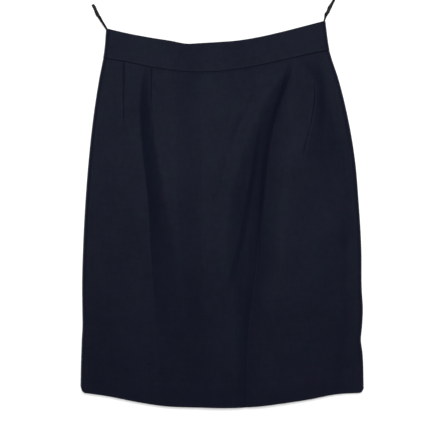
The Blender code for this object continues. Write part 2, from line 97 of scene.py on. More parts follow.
# A hollow: its line, how far its left and right slopes reach, how deep it is, and how much
# its left slope bends, by rise. A bend of 1 is a straight slope; more dies away more softly.
Hollow = namedtuple("Hollow", "rise x left right depth bend", defaults=(1.7,))
HOLLOWS = {
    "deep fold": (
        Hollow(556, 112.5, 6, 6, 0.2),
        Hollow(540, 108.5, 9, 9, 1.0),
        Hollow(524, 102.5, 14, 12, 2.4),
        Hollow(500, 93.5, 22, 17, 3.8),
        Hollow(476, 85.5, 27, 25, 5.0),
        Hollow(452, 78.5, 33, 36, 6.6),
        Hollow(428, 73.8, 36, 42, 7.4, 1.5),
        Hollow(397, 68.5, 40, 44, 8.0, 1.4),
        Hollow(365, 65.5, 46, 45, 8.2, 1.4),
        Hollow(317, 61, 52, 45, 8.6, 1.4),
        Hollow(269, 57.5, 54, 45, 8.8, 1.4),
        Hollow(220, 54.5, 46, 42, 8.2, 1.5),
        Hollow(173, 48, 32, 36, 6.6, 1.6),
        Hollow(124, 42, 24, 32, 4.8, 1.6),
        Hollow(60, 40, 22, 28, 3.6, 1.6),
        Hollow(0, 38, 18, 24, 2.8, 1.6),
    ),
    "faint fold": (
        Hollow(530, 62, 8, 8, 0.0),
        Hollow(500, 51, 9, 8, 0.4),
        Hollow(453, 29, 12, 10, 0.5),
        Hollow(397, 8, 14, 14, 0.5),
        Hollow(340, -4, 20, 20, 0.3),
        Hollow(290, -10, 20, 20, 0.0),
    ),
    "right edge fold": (
        Hollow(360, 206, 14, 8, 0.0),
        Hollow(300, 203, 14, 8, 0.5),
        Hollow(200, 201, 12, 8, 0.9),
        Hollow(124, 203, 12, 9, 1.0),
        Hollow(95, 197, 10, 10, 1.2),
        Hollow(60, 195, 10, 9, 1.0),
        Hollow(20, 196, 10, 9, 0.3),
    ),
    "hip hollow": (
        Hollow(560, 158, 8, 8, 0.0),
        Hollow(524, 163, 9, 9, 0.4),
        Hollow(476, 163, 9, 9, 0.5),
        Hollow(430, 161, 9, 9, 0.3),
        Hollow(390, 156, 10, 10, 0.0),
    ),
}
# A rise in level: where it starts and ends from left to right, and how much it rises.
Slope = namedtuple("Slope", "rise start end height")
SLOPES = {
    "left fold": (
        Slope(556, -124, -112, 0.0),
        Slope(525, -128, -112, 2.0),
        Slope(500, -130, -112, 3.4),
        Slope(476, -131, -111, 4.8),
        Slope(428, -128, -106, 6.4),
        Slope(368, -122, -95, 7.0),
        Slope(317, -117, -86, 6.8),
        Slope(269, -115, -76, 6.2),
        Slope(220, -112, -67, 5.2),
        Slope(172, -108, -60, 3.8),
        Slope(110, -104, -54, 2.0),
        Slope(0, -100, -50, 0.8),
    ),
    "second fold": (
        Slope(456, 60, 66, 0.0),
        Slope(428, 55, 61, -1.0),
        Slope(397, 50, 56, -1.5),
        Slope(365, 45, 52, -1.7),
        Slope(317, 36, 44, -1.6),
        Slope(269, 27, 36, -1.3),
        Slope(220, 14, 24, -0.8),
        Slope(172, 2, 12, -0.3),
        Slope(110, -4, 8, 0.0),
    ),
    "middle rise": (
        Slope(560, -76, -34, 0.0),
        Slope(500, -76, -34, 1.8),
        Slope(430, -74, -32, 3.2),
        Slope(250, -68, -30, 3.8),
        Slope(172, -60, -28, 2.8),
        Slope(0, -60, -20, 0.8),
    ),
    "middle fall": (
        Slope(560, -34, 30, 0.0),
        Slope(500, -34, 34, -2.0),
        Slope(430, -34, 36, -3.8),
        Slope(300, -30, 36, -4.4),
        Slope(220, -30, 34, -3.4),
        Slope(120, -26, 24, -1.4),
        Slope(0, -20, 20, -0.4),
    ),
    "right level": (
        Slope(560, 118, 150, -0.8),
        Slope(524, 146, 170, -2.4),
        Slope(500, 146, 170, -3.4),
        Slope(470, 144, 175, -4.2),
        Slope(430, 134, 188, -5.4),
        Slope(400, 112, 200, -6.3),
        Slope(250, 92, 212, -6.9),
        Slope(100, 82, 212, -5.2),
        Slope(0, 80, 205, -3.4),
    ),
}
CREASED = ("left fold", "second fold")    # these slopes start in a crease, the others ease in
CREASE_BEND, RIGHT_BEND, SLOPE_STRAIGHT = 1.5, 1.55, 0.65
# The narrow tuck along the deep fold's bottom: its depth, how far it slips under the cloth on
# its right, its half width, the hollow's depth where it is full, and how it fades at the foot.
TUCK_DEPTH, TUCK_UNDER, TUCK_HALF, TUCK_FROM = 1.5, 1.3, 1.75, 4.5
TUCK_FOOT, TUCK_FADE = 215.0, 120.0
# The front rolls over to its side seams: how high it gets, in what width, and how round.
SIDE_PUFF, SIDE_REACH, SIDE_ROUND = 4.8, 4.2, 1.5
# The zip under it lifts the middle of the waist: height, half width, and how far down.
ZIP_RISE, ZIP_REACH, ZIP_FADE = 4.6, 74.0, 130.0

# The front's darts, each as points down its seam.
Mark = namedtuple("Mark", "rise x")
DARTS = {
    "outer left": (Mark(560, -157.8), Mark(500, -158.0), Mark(454, -158.4)),
    "inner left": (Mark(552, -113.2), Mark(520, -113.9), Mark(484, -114.6)),
    "inner right": (Mark(556, 110.4), Mark(524, 100.0), Mark(492, 88.0)),
    "outer right": (Mark(568, 139.6), Mark(548, 141.5), Mark(505, 149.0), Mark(461, 143.6),
                    Mark(425, 134.8), Mark(402, 130.4)),
}
DART_HIDDEN_ABOVE = {"outer right": 522.0, "inner right": 552.0}     # pressed flat above this rise
# A dart's groove: how deep, its half width, and how it fades at its tip and into a pressed part.
DART_GROOVE, DART_HALF, DART_FADE, DART_HIDING = 0.62, 0.95, 14.0, 22.0
# The pressed fold beside a dart: how thick, how wide at its top, and how soft its two edges are.
DART_FOLD, DART_FOLD_REACH, DART_FOLD_START, DART_FOLD_END = 0.25, 7.0, 1.2, 2.5
DART_PAST_SEAM = 30.0     # above its first point, a dart is sewn into the band and gone

# Lines down the cloth that its columns of points follow, besides the deep fold.
FRONT_LEFT_GUIDES = (
    (Mark(572, -157.8), Mark(454, -158.4), Mark(340, -166), Mark(170, -172), Mark(0, -176)),
    (Mark(572, -113), Mark(500, -114), Mark(440, -118), Mark(340, -119), Mark(170, -108),
     Mark(0, -100)),
)
FRONT_RIGHT_GUIDE = (Mark(572, 139.6), Mark(548, 141.5), Mark(505, 149), Mark(461, 143.6),
                     Mark(402, 130.4), Mark(250, 122), Mark(0, 112))
BAND_GUIDE = (Mark(640, -64), Mark(500, -64))
GUIDE_PASSES, GUIDE_LIMITS = 6, (0.01, 0.99)

# The back's darts, as distances from its centre seam: top and tip, and how long they are.
BackDart = namedtuple("BackDart", "top tip length")
BACK_DARTS = (BackDart(98.0, 103.0, 112.0), BackDart(143.0, 147.0, 98.0))
BACK_DART_HEAD = 6.0      # how far above the middle of the waist seam they start

# ---- the zip in the centre back seam, and the loops ----------------------------------------

# Both tapes: their gap on each side, how clear of the cloth, and how far past the slider's middle.
ZIP_LENGTH, TAPE_WIDTH, TAPE_WALL = 190.0, 22.0, 0.4
TAPE_GAP, TAPE_CLEAR, TAPE_HEAD, TAPE_STEPS = 0.2, 0.12, 0.4, 96
LEAN_DOWN, LEAN_REACH = 60.0, 40.0     # where the zip leaves the seam's line to meet the slider
# The pull holds the back up: half widths and lengths of the full lift and of all of it, and how
# high.
LIFT_FLAT, LIFT_REACH, LIFT_LENGTH, LIFT_END, ZIP_LIFT = 6.0, 26.0, 34.0, 70.0, 3.3
SLIDER_DROP, SLIDER_LENGTH, SLIDER_WIDTH, PLATE_WALL = 7.0, 8.0, 5.0, 0.7
SLIDER_ROOM = 2.1                      # between the band and the slider's inner plate
OUTER_PLATE = (0.86, 0.96)             # the outer plate's width and length beside the inner one's
OUTER_SOFT, INNER_SOFT, PULL_SOFT = 0.16, 0.18, 0.16
SHIELD_STEPS, PULL_STEPS = 16, 24      # points down one side of an outline
NECK_WIDTH, NECK_FORWARD, NECK_SHORTER = 1.4, 0.7, 0.4
SLOT_HALF, SLOT_DROP, SLOT_FADE = 1.1, 2.0, 3.0    # the band's edges part beside the neck
# The slider's side walls: shares of its width and length, and sizes.
WALL_OUT, WALL_BACK, WALL_LENGTH = 0.45, 0.06, 0.62
WALL_WIDTH, WALL_HEIGHT, WALL_DROP, WALL_SOFT = 0.5, 0.9, 0.35, 0.12
# The bail: its wall, the room under it for the pull, its width, and half the span of its posts.
BAIL_WALL, BAIL_ROOM, BAIL_WIDTH, BAIL_POST = 0.7, 1.3, 1.5, 1.65
BAIL_SUNK, BAIL_ROUND, BAIL_STEPS = 0.25, 0.55, 15
PULL_LENGTH, PULL_WIDTH, PULL_WALL, PULL_BAR = 20.0, 4.8, 0.7, 0.6
PULL_SAG = math.radians(2.6)
PLATE_STEP, BLOCK_CUT, BLOCK_SOFT, STRAP_SOFT = 0.3, 0.2, 0.15, 0.25     # how edges are softened
SHARP = math.radians(50)
# Half widths of the pull from its top down, and of the slider's plates from the foot up, as
# shares of their own width and length.
Width = namedtuple("Width", "along half_width")
PULL_OUTLINE = (
    Width(0.00, 0.36),
    Width(0.10, 0.40),
    Width(0.26, 0.36),
    Width(0.45, 0.34),
    Width(0.70, 0.46),
    Width(0.88, 0.50),
    Width(0.96, 0.40),
    Width(1.00, 0.20),
)
EYE_WIDTH, EYE_LENGTH, EYE_ROUND = 2.5, 3.3, 0.5
SHIELD = (
    Width(1.00, 0.26),
    Width(0.93, 0.44),
    Width(0.78, 0.50),
    Width(0.50, 0.48),
    Width(0.20, 0.38),
    Width(0.05, 0.32),
    Width(0.00, 0.22),
)
COIL_SIZE = {"Pitch": 1.3, "Half Width": 1.15, "Height": 1.3, "Wire": 0.24}
COIL_FOOT, COIL_HEAD, COIL_STEP, COIL_OVERLAP, COIL_CLEAR = 6.0, 0.5, 2.0, 0.45, 0.15
STITCH_SIZE = {"Pitch": 2.6, "Length": 2.0, "Width": 0.34}
ZIP_TACK_SIZE = {"Pitch": 1.5, "Length": 1.6, "Width": 0.34}
LOOP_TACK_SIZE = {"Pitch": 0.9, "Length": 1.0, "Width": 0.3}
STITCH_SWAY = 0.05        # how far stitches turn askew, in radians
ZIP_STITCH_ASIDE, ZIP_STITCH_END, STITCH_SUNK, STITCH_STEP = 6.5, 4.0, 0.06, 3.0
TACK_ROWS, TACK_SUNK, ZIP_TACK_GAP, ZIP_TACK_POINTS = 3, 0.05, 0.4, 9
LOOP_TACK_GAP, LOOP_TACK_HALF, LOOP_TACK_UP, LOOP_TACK_POINTS = 0.8, 1.8, 1.25, 5

# A strand of ribbon: its middle, how far it is rolled on edge in degrees, and its height.
Strand = namedtuple("Strand", "x rise roll z width")
LOOPS = {
    "left": (
        Strand(-182.2, 603.2, 46, 2.0, 3.8),
        Strand(-185.0, 607.0, 50, 1.9, 4.4),
        Strand(-188.6, 612.2, 48, 1.7, 4.8),
        Strand(-193.0, 618.8, 46, 1.6, 4.9),
        Strand(-197.0, 625.0, 40, 1.5, 5.0),
        Strand(-199.4, 630.0, 10, 0.9, 5.4),
        Strand(-202.0, 635.2, 0, 0.7, 5.2),
        Strand(-204.8, 640.8, 8, 0.6, 5.0),
        Strand(-207.6, 646.2, 14, 0.6, 4.8),
    ),
    "right": (
        Strand(162.6, 616.6, 40, 2.0, 3.4),
        Strand(164.0, 620.8, 52, 1.9, 3.8),
        Strand(165.6, 625.2, 50, 1.8, 4.6),
        Strand(167.4, 629.8, 34, 1.5, 5.0),
        Strand(169.8, 635.0, 6, 1.0, 5.4),
        Strand(172.6, 640.2, 0, 0.8, 5.2),
        Strand(175.8, 646.6, 14, 0.7, 4.8),
        Strand(178.8, 652.6, 22, 0.7, 4.4),
        Strand(181.6, 658.4, 22, 0.6, 4.2),
    ),
}
# The strand that comes back lies over the first, a little aside of it and rolled the other way.
RETURN_ASIDE = {"left": (0.1, 0.0, -0.2, -0.3, -0.9, 0.7, 0.4, -0.5, 0.0),
                "right": (0.0, 0.0, 0.3, 1.2, -0.3, 1.1, 0.3, -0.2, 0.0)}
RETURN_ROLL, RETURN_LIFT, RETURN_EASE = -14.0, 0.75, 0.06
RIBBON_WALL, RIBBON_CLEAR, RIBBON_STEPS, BEND_STEPS = 0.36, 0.25, 41, 9

# The flat cut of each cloth piece in metres, its area, what it lies on, and what is sewn to it.
Cut = namedtuple("Cut", "width length area rests_on carries")

# ---- cloth --------------------------------------------------------------------------------

CLOTH, BAND = 1.1, 1.7    # a panel's and the band's thickness as seen, nap and all
HEM_DEPTH, HEM_EXTRA, HEM_FADE = 36.0, 0.12, 3.0
BAND_LENGTH, BAND_DEPTH = 356.0, 46.5  # of the cloth's grain along and across the front band
BAND_UNEVEN = 0.5                      # of a panel's unevenness
INNER_STEP, INNER_FADE = 12.0, 8.0     # from a back panel's inner face to the thicker band's
OPEN_REACH = 0.06                      # share of the width over which the centre seam opens
# How far apart columns stand on a seam or fold line, away from it, and how soon they spread.
FINE, COARSE, SPREAD, SPACING_SAMPLES = 0.55, 2.5, 0.22, 400
NEVER_ZERO = 1e-12
# Where points stand beside a rim, in half thicknesses, and how clear the next ones keep.
RIM, RIM_ROOM = (0.0, 0.1, 0.4, 1.0, 2.2), 1.3
# About how wide and long a piece's grid of points is, and how far apart its rows are.
Grid = namedtuple("Grid", "width height row_gap")
FRONT_GRID, FRONT_BAND_GRID = Grid(400.0, 545.0, 3.4), Grid(355.0, 46.5, 2.2)
BACK_GRID, BACK_BAND_GRID = Grid(205.0, 540.0, 4.0), Grid(180.0, 46.5, 2.2)
# Cloth turns in beside a seam or an edge: by how much, and in what width.
Turn = namedtuple("Turn", "height width")
FRONT_SIDE, FRONT_WAIST, BAND_SIDE = Turn(1.0, 4.0), Turn(0.55, 4.0), Turn(0.9, 3.0)
BACK_SIDE, BACK_WAIST, BACK_CENTRE = Turn(0.30, 4.0), Turn(0.30, 3.0), Turn(0.28, 2.2)
BACK_BAND_ENDS = Turn(0.25, 2.5)
# A strip's section: how square it is, from 2 for round, and how many points go round it.
Section = namedtuple("Section", "power points")
RIBBON_SECTION, TAPE_SECTION = Section(2.6, 14), Section(6.0, 16)
# How far from an edge the cloth is rubbed and painted with a sheen, and how much less a flat seam is
# than a side.
SIDE_WEAR_AND_SHEEN, SEAM_WEAR_AND_SHEEN, SEAM_WEAR_AND_SHEEN_SHARE = 3.2, 1.6, 0.35
# The slow unevenness of cloth: waves in each metre of x and of rise, and their height.
Wave = namedtuple("Wave", "x rise phase height")
LIE = (
    Wave(7.0, 3.0, 0.4, 0.16),
    Wave(13.0, -5.0, 1.9, 0.10),
    Wave(19.0, 8.0, 3.1, 0.06),
    Wave(-9.0, 14.0, 5.2, 0.05),
)

# ---- the stage, in metres, and the lens in millimetres ---------------------------------------

FLOOR_HALF, FLOOR_DROP = 4.0, 0.0006
LENS, SENSOR = 85.0, 36.0
VIEW_WIDTH, VIEW_MIDDLE, VIEW_LEVEL = 0.6912, (-0.0098, -0.0230), 0.006

# ---- lines and heights of the cloth -----------------------------------------------------------

def curve(places, values):
    """A smooth function through the given values at the given places."""
    places, values = np.array(places, float), np.array(values, float)
    if places[0] > places[-1]:
        places, values = places[::-1], values[::-1]
    slopes = np.gradient(values, places)

    def at(place):
        place = np.clip(place, places[0], places[-1])
        start = np.clip(np.searchsorted(places, place) - 1, 0, len(places) - 2)
        span = places[start + 1] - places[start]
        share = (place - places[start]) / span
        rest = 1 - share
        ends = rest**2 * (1 + 2 * share) * values[start] + share**2 * (1 + 2 * rest) * values[start + 1]
        turns = span * share * rest * (rest * slopes[start] - share * slopes[start + 1])
        return ends + turns

    return at


def column(table, place, value):
    return curve([getattr(row, place) for row in table], [getattr(row, value) for row in table])


def ease(share):
    """0 to 1, level at both ends."""
    share = np.clip(share, 0, 1)
    return share * share * (3 - 2 * share)


def line_down(table):
    """A line down the cloth, as x by rise."""
    return column(table, "rise", "x")


def straight_column(table, value, rise):
    """A table's value at a rise, in straight steps between its rows."""
    rises, values = [row.rise for row in table], [getattr(row, value) for row in table]
    return np.interp(rise, rises[::-1], values[::-1])


def unit(vectors):
    return vectors / (np.linalg.norm(vectors, axis=-1, keepdims=True) + NEVER_ZERO)


left_seam = column(SIDES, "rise", "left")
right_seam = column(SIDES, "rise", "right")
waist_seam = column(EDGES, "across", "seam")
top_edge = column(EDGES, "across", "top")
plain_hem = column(EDGES, "across", "hem")


def hem(across):
    left = LEFT_CORNER * ease(1 - across / CORNER_REACH) ** 2
    right = RIGHT_CORNER * ease(1 - (1 - across) / CORNER_REACH) ** 2
    return plain_hem(across) + left + right


def back_hem(across):
    return hem(across) + BACK_HEM


def back_seam(across):
    return waist_seam(across) - BACK_DIP * np.sin(np.pi * across)


def back_top(across):
    return top_edge(across) - BACK_DIP * np.sin(np.pi * across)


def middle_x(rise):
    """The centre back seam's line: halfway along the row of the back that crosses it there."""
    lines = (back_hem, back_seam, back_top)
    marks = [line(0.5) for line in lines]
    left_rise = np.interp(rise, marks, [line(0.0) for line in lines])
    right_rise = np.interp(rise, marks, [line(1.0) for line in lines])
    return (left_seam(left_rise) + right_seam(right_rise)) / 2


def inside_seams(x, rise):
    """The distance to the nearer side seam."""
    return np.minimum(x - left_seam(rise), right_seam(rise) - x)


def off_sides(inward):
    """The roll over to a side seam, from 0 on it to 1 past it."""
    return 1 - (1 - ease(inward / SIDE_REACH)) ** SIDE_ROUND


def turned_in(distance, turn):
    return turn.height * (1 - ease(distance / turn.width))


def share_across(x, rise):
    return (x - left_seam(rise)) / (right_seam(rise) - left_seam(rise))


def hollow(rows, x, rise):
    """A crease: sharpest on its line, its slopes dying away to each side."""
    line = line_down(rows)(rise)
    left = column(rows, "rise", "left")(rise)
    right = column(rows, "rise", "right")(rise)
    depth = straight_column(rows, "depth", rise)
    bend = straight_column(rows, "bend", rise)
    to_left = np.clip(1 - (line - x) / left, 0, 1) ** bend
    to_right = np.clip(1 - (x - line) / right, 0, 1) ** RIGHT_BEND
    return -depth * np.where(x < line, to_left, to_right)


def tuck(x, rise):
    """Where the narrow tuck in the deep fold is, from 0 beside it to 1 on its line."""
    rows = HOLLOWS["deep fold"]
    off = x - line_down(rows)(rise)
    deep = ease(straight_column(rows, "depth", rise) / TUCK_FROM)
    alive = deep * ease((rise - TUCK_FOOT) / TUCK_FADE)
    return alive * np.exp(-((off / TUCK_HALF) ** 2))


def slope(rows, x, rise, creased):
    """A change of level between two lines."""
    start = column(rows, "rise", "start")(rise)
    end = column(rows, "rise", "end")(rise)
    height = straight_column(rows, "height", rise)
    share = np.clip((x - start) / (end - start), 0, 1)
    if creased:
        return height * (1 - (1 - share) ** CREASE_BEND)
    return height * (SLOPE_STRAIGHT * share + (1 - SLOPE_STRAIGHT) * ease(share))


def unevenness(x, rise):
    return sum(wave.height * np.sin(2 * np.pi * (wave.x * x + wave.rise * rise) * MM + wave.phase)
               for wave in LIE)


def over_zip(x, rise):
    down = waist_seam(share_across(x, rise)) - rise
    aside = np.abs(x - middle_x(rise)) / ZIP_REACH
    return ZIP_RISE * ease(1 - aside) * ease((ZIP_FADE - down) / ZIP_FADE)


def front_lift(x, rise):
    """How far the front stands above where its edges lie."""
    slopes = sum(slope(rows, x, rise, name in CREASED) for name, rows in SLOPES.items())
    hollows = sum(hollow(rows, x, rise) for rows in HOLLOWS.values()) - TUCK_DEPTH * tuck(x, rise)
    shape = SIDE_PUFF + unevenness(x, rise) + slopes + hollows
    return off_sides(inside_seams(x, rise)) * shape + over_zip(x, rise)


def dart_relief(x, rise, darts, middle):
    """A dart's seam is a narrow groove, with its fold pressed flat beside it towards the middle."""
    folds, grooves = 0, 0
    for name, rows in darts.items():
        line = line_down(rows)(rise)
        top, tip = rows[0].rise, rows[-1].rise
        alive = ease((rise - tip) / DART_FADE) * (rise < top + DART_PAST_SEAM)
        if name in DART_HIDDEN_ABOVE:
            alive = alive * ease((DART_HIDDEN_ABOVE[name] - rise) / DART_HIDING)
        off = x - line
        inward = off * np.sign(middle - line)
        share = np.clip((rise - tip) / (top - tip), 0, 1)
        width = 1 + DART_FOLD_REACH * share
        folded = ease(inward / DART_FOLD_START) * ease((width - inward) / DART_FOLD_END)
        folds = folds + alive * DART_FOLD * folded
        grooves = grooves + alive * DART_GROOVE * np.exp(-((off / DART_HALF) ** 2))
    return folds, grooves


def zip_lift(x, rise):
    """How far the zip pull holds the back off the surface."""
    aside = np.abs(x - middle_x(rise))
    down = back_top(share_across(x, rise)) - rise
    across = ease((LIFT_REACH - aside) / (LIFT_REACH - LIFT_FLAT))
    along = ease((LIFT_END - down) / (LIFT_END - LIFT_LENGTH))
    return ZIP_LIFT * across * along


def slider_place():
    """x and rise of the slider's middle, just under the back's top edge."""
    rise = back_top(0.5) - SLIDER_DROP
    return float(middle_x(rise)), float(rise)


def zip_line(rise):
    """The zip follows the centre back seam and meets the slider at its top."""
    slider_x, slider_rise = slider_place()
    lean = ease((rise - slider_rise + LEAN_DOWN) / LEAN_REACH)
    return middle_x(rise) * (1 - lean) + slider_x * lean


def inner_face(x, rise):
    """Height of the back's inner face, on the panel or on the thicker band."""
    on_band = ease((rise - back_seam(share_across(x, rise)) + INNER_STEP) / INNER_FADE)
    return BACK_BED + zip_lift(x, rise) + CLOTH + (BAND - CLOTH) * on_band


# ---- meshes -------------------------------------------------------------------------------

def spaced(marks, length):
    """Places from 0 to length, closer together near the marks, which are among them."""
    knots = [0.0, *sorted(marks), length]
    places = [0.0]
    for start, end in zip(knots, knots[1:]):
        fine = np.linspace(start, end, SPACING_SAMPLES)
        gaps = [np.abs(fine - knot) for knot in knots[1:-1]]
        gap = np.min([np.full(SPACING_SAMPLES, length), *gaps], axis=0)
        steps = 1 / np.clip(FINE + SPREAD * gap, FINE, COARSE)
        grown = np.concatenate([[0], np.cumsum((steps[1:] + steps[:-1]) / 2 * np.diff(fine))])
        count = max(2, int(round(grown[-1])))
        places += list(np.interp(np.linspace(0, grown[-1], count + 1), grown, fine)[1:])
    return np.array(places)


def rimmed(shares, length, thickness):
    """Adds the closer places that round an edge off, at both ends, and says how thick each is."""
    radius = thickness / 2
    rim = np.array(RIM) * radius / length
    room = rim[-1] * RIM_ROOM
    inner = shares[(shares > room) & (shares < 1 - room)]
    places = np.concatenate([rim, inner, 1 - rim[::-1]])
    inward = np.minimum(places, 1 - places) * length / radius
    full = np.sqrt(np.clip(1 - (1 - np.clip(inward, 0, 1)) ** 2, 0, 1))
    return places, full


def patch(lower, upper, across, up, inset=0.0):
    """x and rise of the points between two edge lines; across may differ from row to row."""
    up = np.asarray(up)[:, None]
    across = np.atleast_2d(across)
    rise = lower(across) * (1 - up) + upper(across) * up
    left_rise = lower(0.0) * (1 - up) + upper(0.0) * up
    right_rise = lower(1.0) * (1 - up) + upper(1.0) * up
    left = left_seam(left_rise) + inset
    right = right_seam(right_rise) - inset
    return left * (1 - across) + right * across, rise


def seam_side(line, away):
    """An edge line moved half a seam gap away from it."""
    return lambda across: line(across) + away * SEAM_GAP / 2


def together(*parts):
    """Arrays side by side, as the columns of points."""
    return np.stack(np.broadcast_arrays(*parts), -1)


def linked(name, data):
    """A new object at the origin, in the scene."""
    piece = bpy.data.objects.new(name, data)
    bpy.context.scene.collection.objects.link(piece)
    return piece


def placed(points):
    """x, rise and height in millimetres, as places in the frame."""
    return (points - np.array([0.0, MIDDLE, 0.0])) * MM


def new_mesh(name, points, faces, material):
    mesh = bpy.data.meshes.new(name)
    mesh.from_pydata(placed(points).tolist(), [], faces)
    mesh.materials.append(material)
    return mesh


def lay_grain(mesh, grain):
    """Gives every point its place on the cut cloth, across and along, in millimetres."""
    corners = np.empty(len(mesh.loops), np.int32)
    mesh.loops.foreach_get("vertex_index", corners)
    layer = mesh.uv_layers.new(name="grain")
    layer.data.foreach_set("uv", (grain * MM)[corners].reshape(-1).astype(np.float32))


def face_outwards(mesh):
    shape = bmesh.new()
    shape.from_mesh(mesh)
    bmesh.ops.recalc_face_normals(shape, faces=shape.faces)
    shape.to_mesh(mesh)
    shape.free()


def skin(rows, around, wraps=False):
    """Faces over rings of points, row by row, closed at both ends or joined end to end."""
    ring = np.arange(rows * around).reshape(rows, around)
    if wraps:
        ring = np.concatenate([ring, ring[:1]])
    after = np.roll(ring, -1, axis=1)
    quads = np.stack([ring[:-1], after[:-1], after[1:], ring[1:]], -1).reshape(-1, 4)
    caps = [] if wraps else [ring[0][::-1].tolist(), ring[-1].tolist()]
    return quads.tolist() + caps


def cloth(name, mid, thickness, grain, edge, material):
    """A closed cloth shell about a grid of middle points, its rim rounded to nothing.

    edge holds how close each point is to an edge or a seam, from 0 to 1.
    """
    rows, columns = mid.shape[:2]
    normal = unit(np.cross(np.gradient(mid, axis=1), np.gradient(mid, axis=0)))
    half = (thickness / 2)[..., None] * normal
    top = np.arange(rows * columns).reshape(rows, columns)
    under = top.copy()
    inner = (rows - 2) * (columns - 2)
    under[1:-1, 1:-1] = rows * columns + np.arange(inner).reshape(rows - 2, columns - 2)

    def both(above, below):
        """The whole upper side, and the lower side without the rim that they share."""
        parts = above.shape[2:]
        return np.concatenate([above.reshape(-1, *parts), below[1:-1, 1:-1].reshape(-1, *parts)])

    def quads(index):
        corners = [index[:-1, :-1], index[:-1, 1:], index[1:, 1:], index[1:, :-1]]
        return np.stack(corners, axis=-1).reshape(-1, 4)

    faces = np.concatenate([quads(top), quads(under)[:, ::-1]])
    mesh = new_mesh(name, both(mid + half, mid - half), faces.tolist(), material)
    mesh.shade_smooth()
    lay_grain(mesh, both(grain, grain))
    layer = mesh.attributes.new("edge", "FLOAT", "POINT")
    layer.data.foreach_set("value", both(edge, edge).astype(np.float32))
    return linked(name, mesh)


def joined(name, pieces):
    """One object from several, at the origin."""
    shape = bmesh.new()
    for piece in pieces:
        shape.from_mesh(piece.data)
    mesh = bpy.data.meshes.new(name)
    shape.to_mesh(mesh)
    shape.free()
    mesh.materials.append(pieces[0].data.materials[0])
    mesh.shade_smooth()
    for piece in pieces:
        bpy.data.objects.remove(piece, do_unlink=True)
    return linked(name, mesh)


def ridden(piece, slot, *nodes, body=SKIRT):
    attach(piece, body)
    if nodes:
        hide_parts(*nodes)
    return piece


# ---- materials ----------------------------------------------------------------------------

class Nodes:
    """Short ways to add and join nodes in one tree."""

    def __init__(self, tree):
        self.tree = tree

    def put(self, kind, settings=None, **inputs):
        node = self.tree.nodes.new(kind)
        for name, value in (settings or {}).items():
            setattr(node, name, value)
        for name, value in inputs.items():
            self.feed(node.inputs[name.replace("_", " ")], value)
        return node

    def feed(self, socket, value):
        if isinstance(value, bpy.types.NodeSocket):
            self.tree.links.new(value, socket)
        else:
            socket.default_value = value

    def math(self, operation, *values):
        node = self.put("ShaderNodeMath", {"operation": operation})
        for socket, value in zip(node.inputs, values):
            self.feed(socket, value)
        return node.outputs[0]

    def plus(self, first, second):
        return self.math("ADD", first, second)

    def minus(self, first, second):
        return self.math("SUBTRACT", first, second)

    def times(self, first, second):
        return self.math("MULTIPLY", first, second)

    def balance(self, first, second, share):
        return self.plus(self.times(first, share), self.times(second, 1 - share))

    def wave(self, distance, length):
        """From 0 to 1 and back in every such length."""
        turns = self.times(self.math("DIVIDE", distance, length), 2 * math.pi)
        return self.plus(self.times(self.math("SINE", turns), 0.5), 0.5)

    def noise(self, place, scale, detail, roughness=0.5):
        node = self.put("ShaderNodeTexNoise", Vector=place, Scale=scale, Detail=detail,
                        Roughness=roughness)
        return node.outputs["Fac"]

    def drawn_out(self, place, scale):
        mapping = self.put("ShaderNodeMapping", {"vector_type": "POINT"}, Vector=place, Scale=scale)
        return mapping.outputs["Vector"]

    def mix(self, share, *colours):
        node = self.put("ShaderNodeMix", {"data_type": "RGBA"}, Factor=share)
        for end, colour in zip("AB", colours):
            self.feed(node.inputs[end], (*colour, 1.0) if isinstance(colour, tuple) else colour)
        return node.outputs["Result"]

    def span(self, value, low, high, to_low=0.0, to_high=1.0):
        node = self.put("ShaderNodeMapRange", Value=value, From_Min=low, From_Max=high, To_Min=to_low,
                        To_Max=to_high)
        return node.outputs["Result"]


def shader_group(name, inputs, outputs):
    """A group of shader nodes: the nodes, what it is given (None: a place) and what it gives."""
    tree = bpy.data.node_groups.new(name, "ShaderNodeTree")
    for label, value in inputs.items():
        kind = "Vector" if value is None else "Float"
        socket = tree.interface.new_socket(label, in_out="INPUT", socket_type="NodeSocket" + kind)
        if value is not None:
            socket.default_value = value
    for label in outputs:
        tree.interface.new_socket(label, in_out="OUTPUT", socket_type="NodeSocketFloat")
    given, result = tree.nodes.new("NodeGroupInput"), tree.nodes.new("NodeGroupOutput")
    return Nodes(tree), given.outputs, result.inputs


def twill_group():
    """Steep diagonal ribs crossed by finer yarns, as in a worsted twill. Rib and Yarn are in mm."""
    add, given, result = shader_group(
        "twill weave", {"Grain": None, "Rib": 0.6, "Yarn": 0.35, "Drift": 0.25}, ("Height", "Furrow"))
    grain = add.put("ShaderNodeSeparateXYZ", Vector=given["Grain"]).outputs
    wander = add.times(add.minus(add.noise(given["Grain"], 160.0, 2.0), 0.5), given["Drift"])
    diagonal = add.minus(add.times(grain["X"], 890.0), add.times(grain["Y"], 450.0))
    rib = add.wave(add.plus(diagonal, wander), given["Rib"])
    crossing = add.plus(add.times(grain["X"], 300.0), add.times(grain["Y"], 950.0))
    add.feed(result["Height"], add.balance(rib, add.wave(crossing, given["Yarn"]), 0.7))
    add.feed(result["Furrow"], add.minus(1.0, rib))
    return add.tree


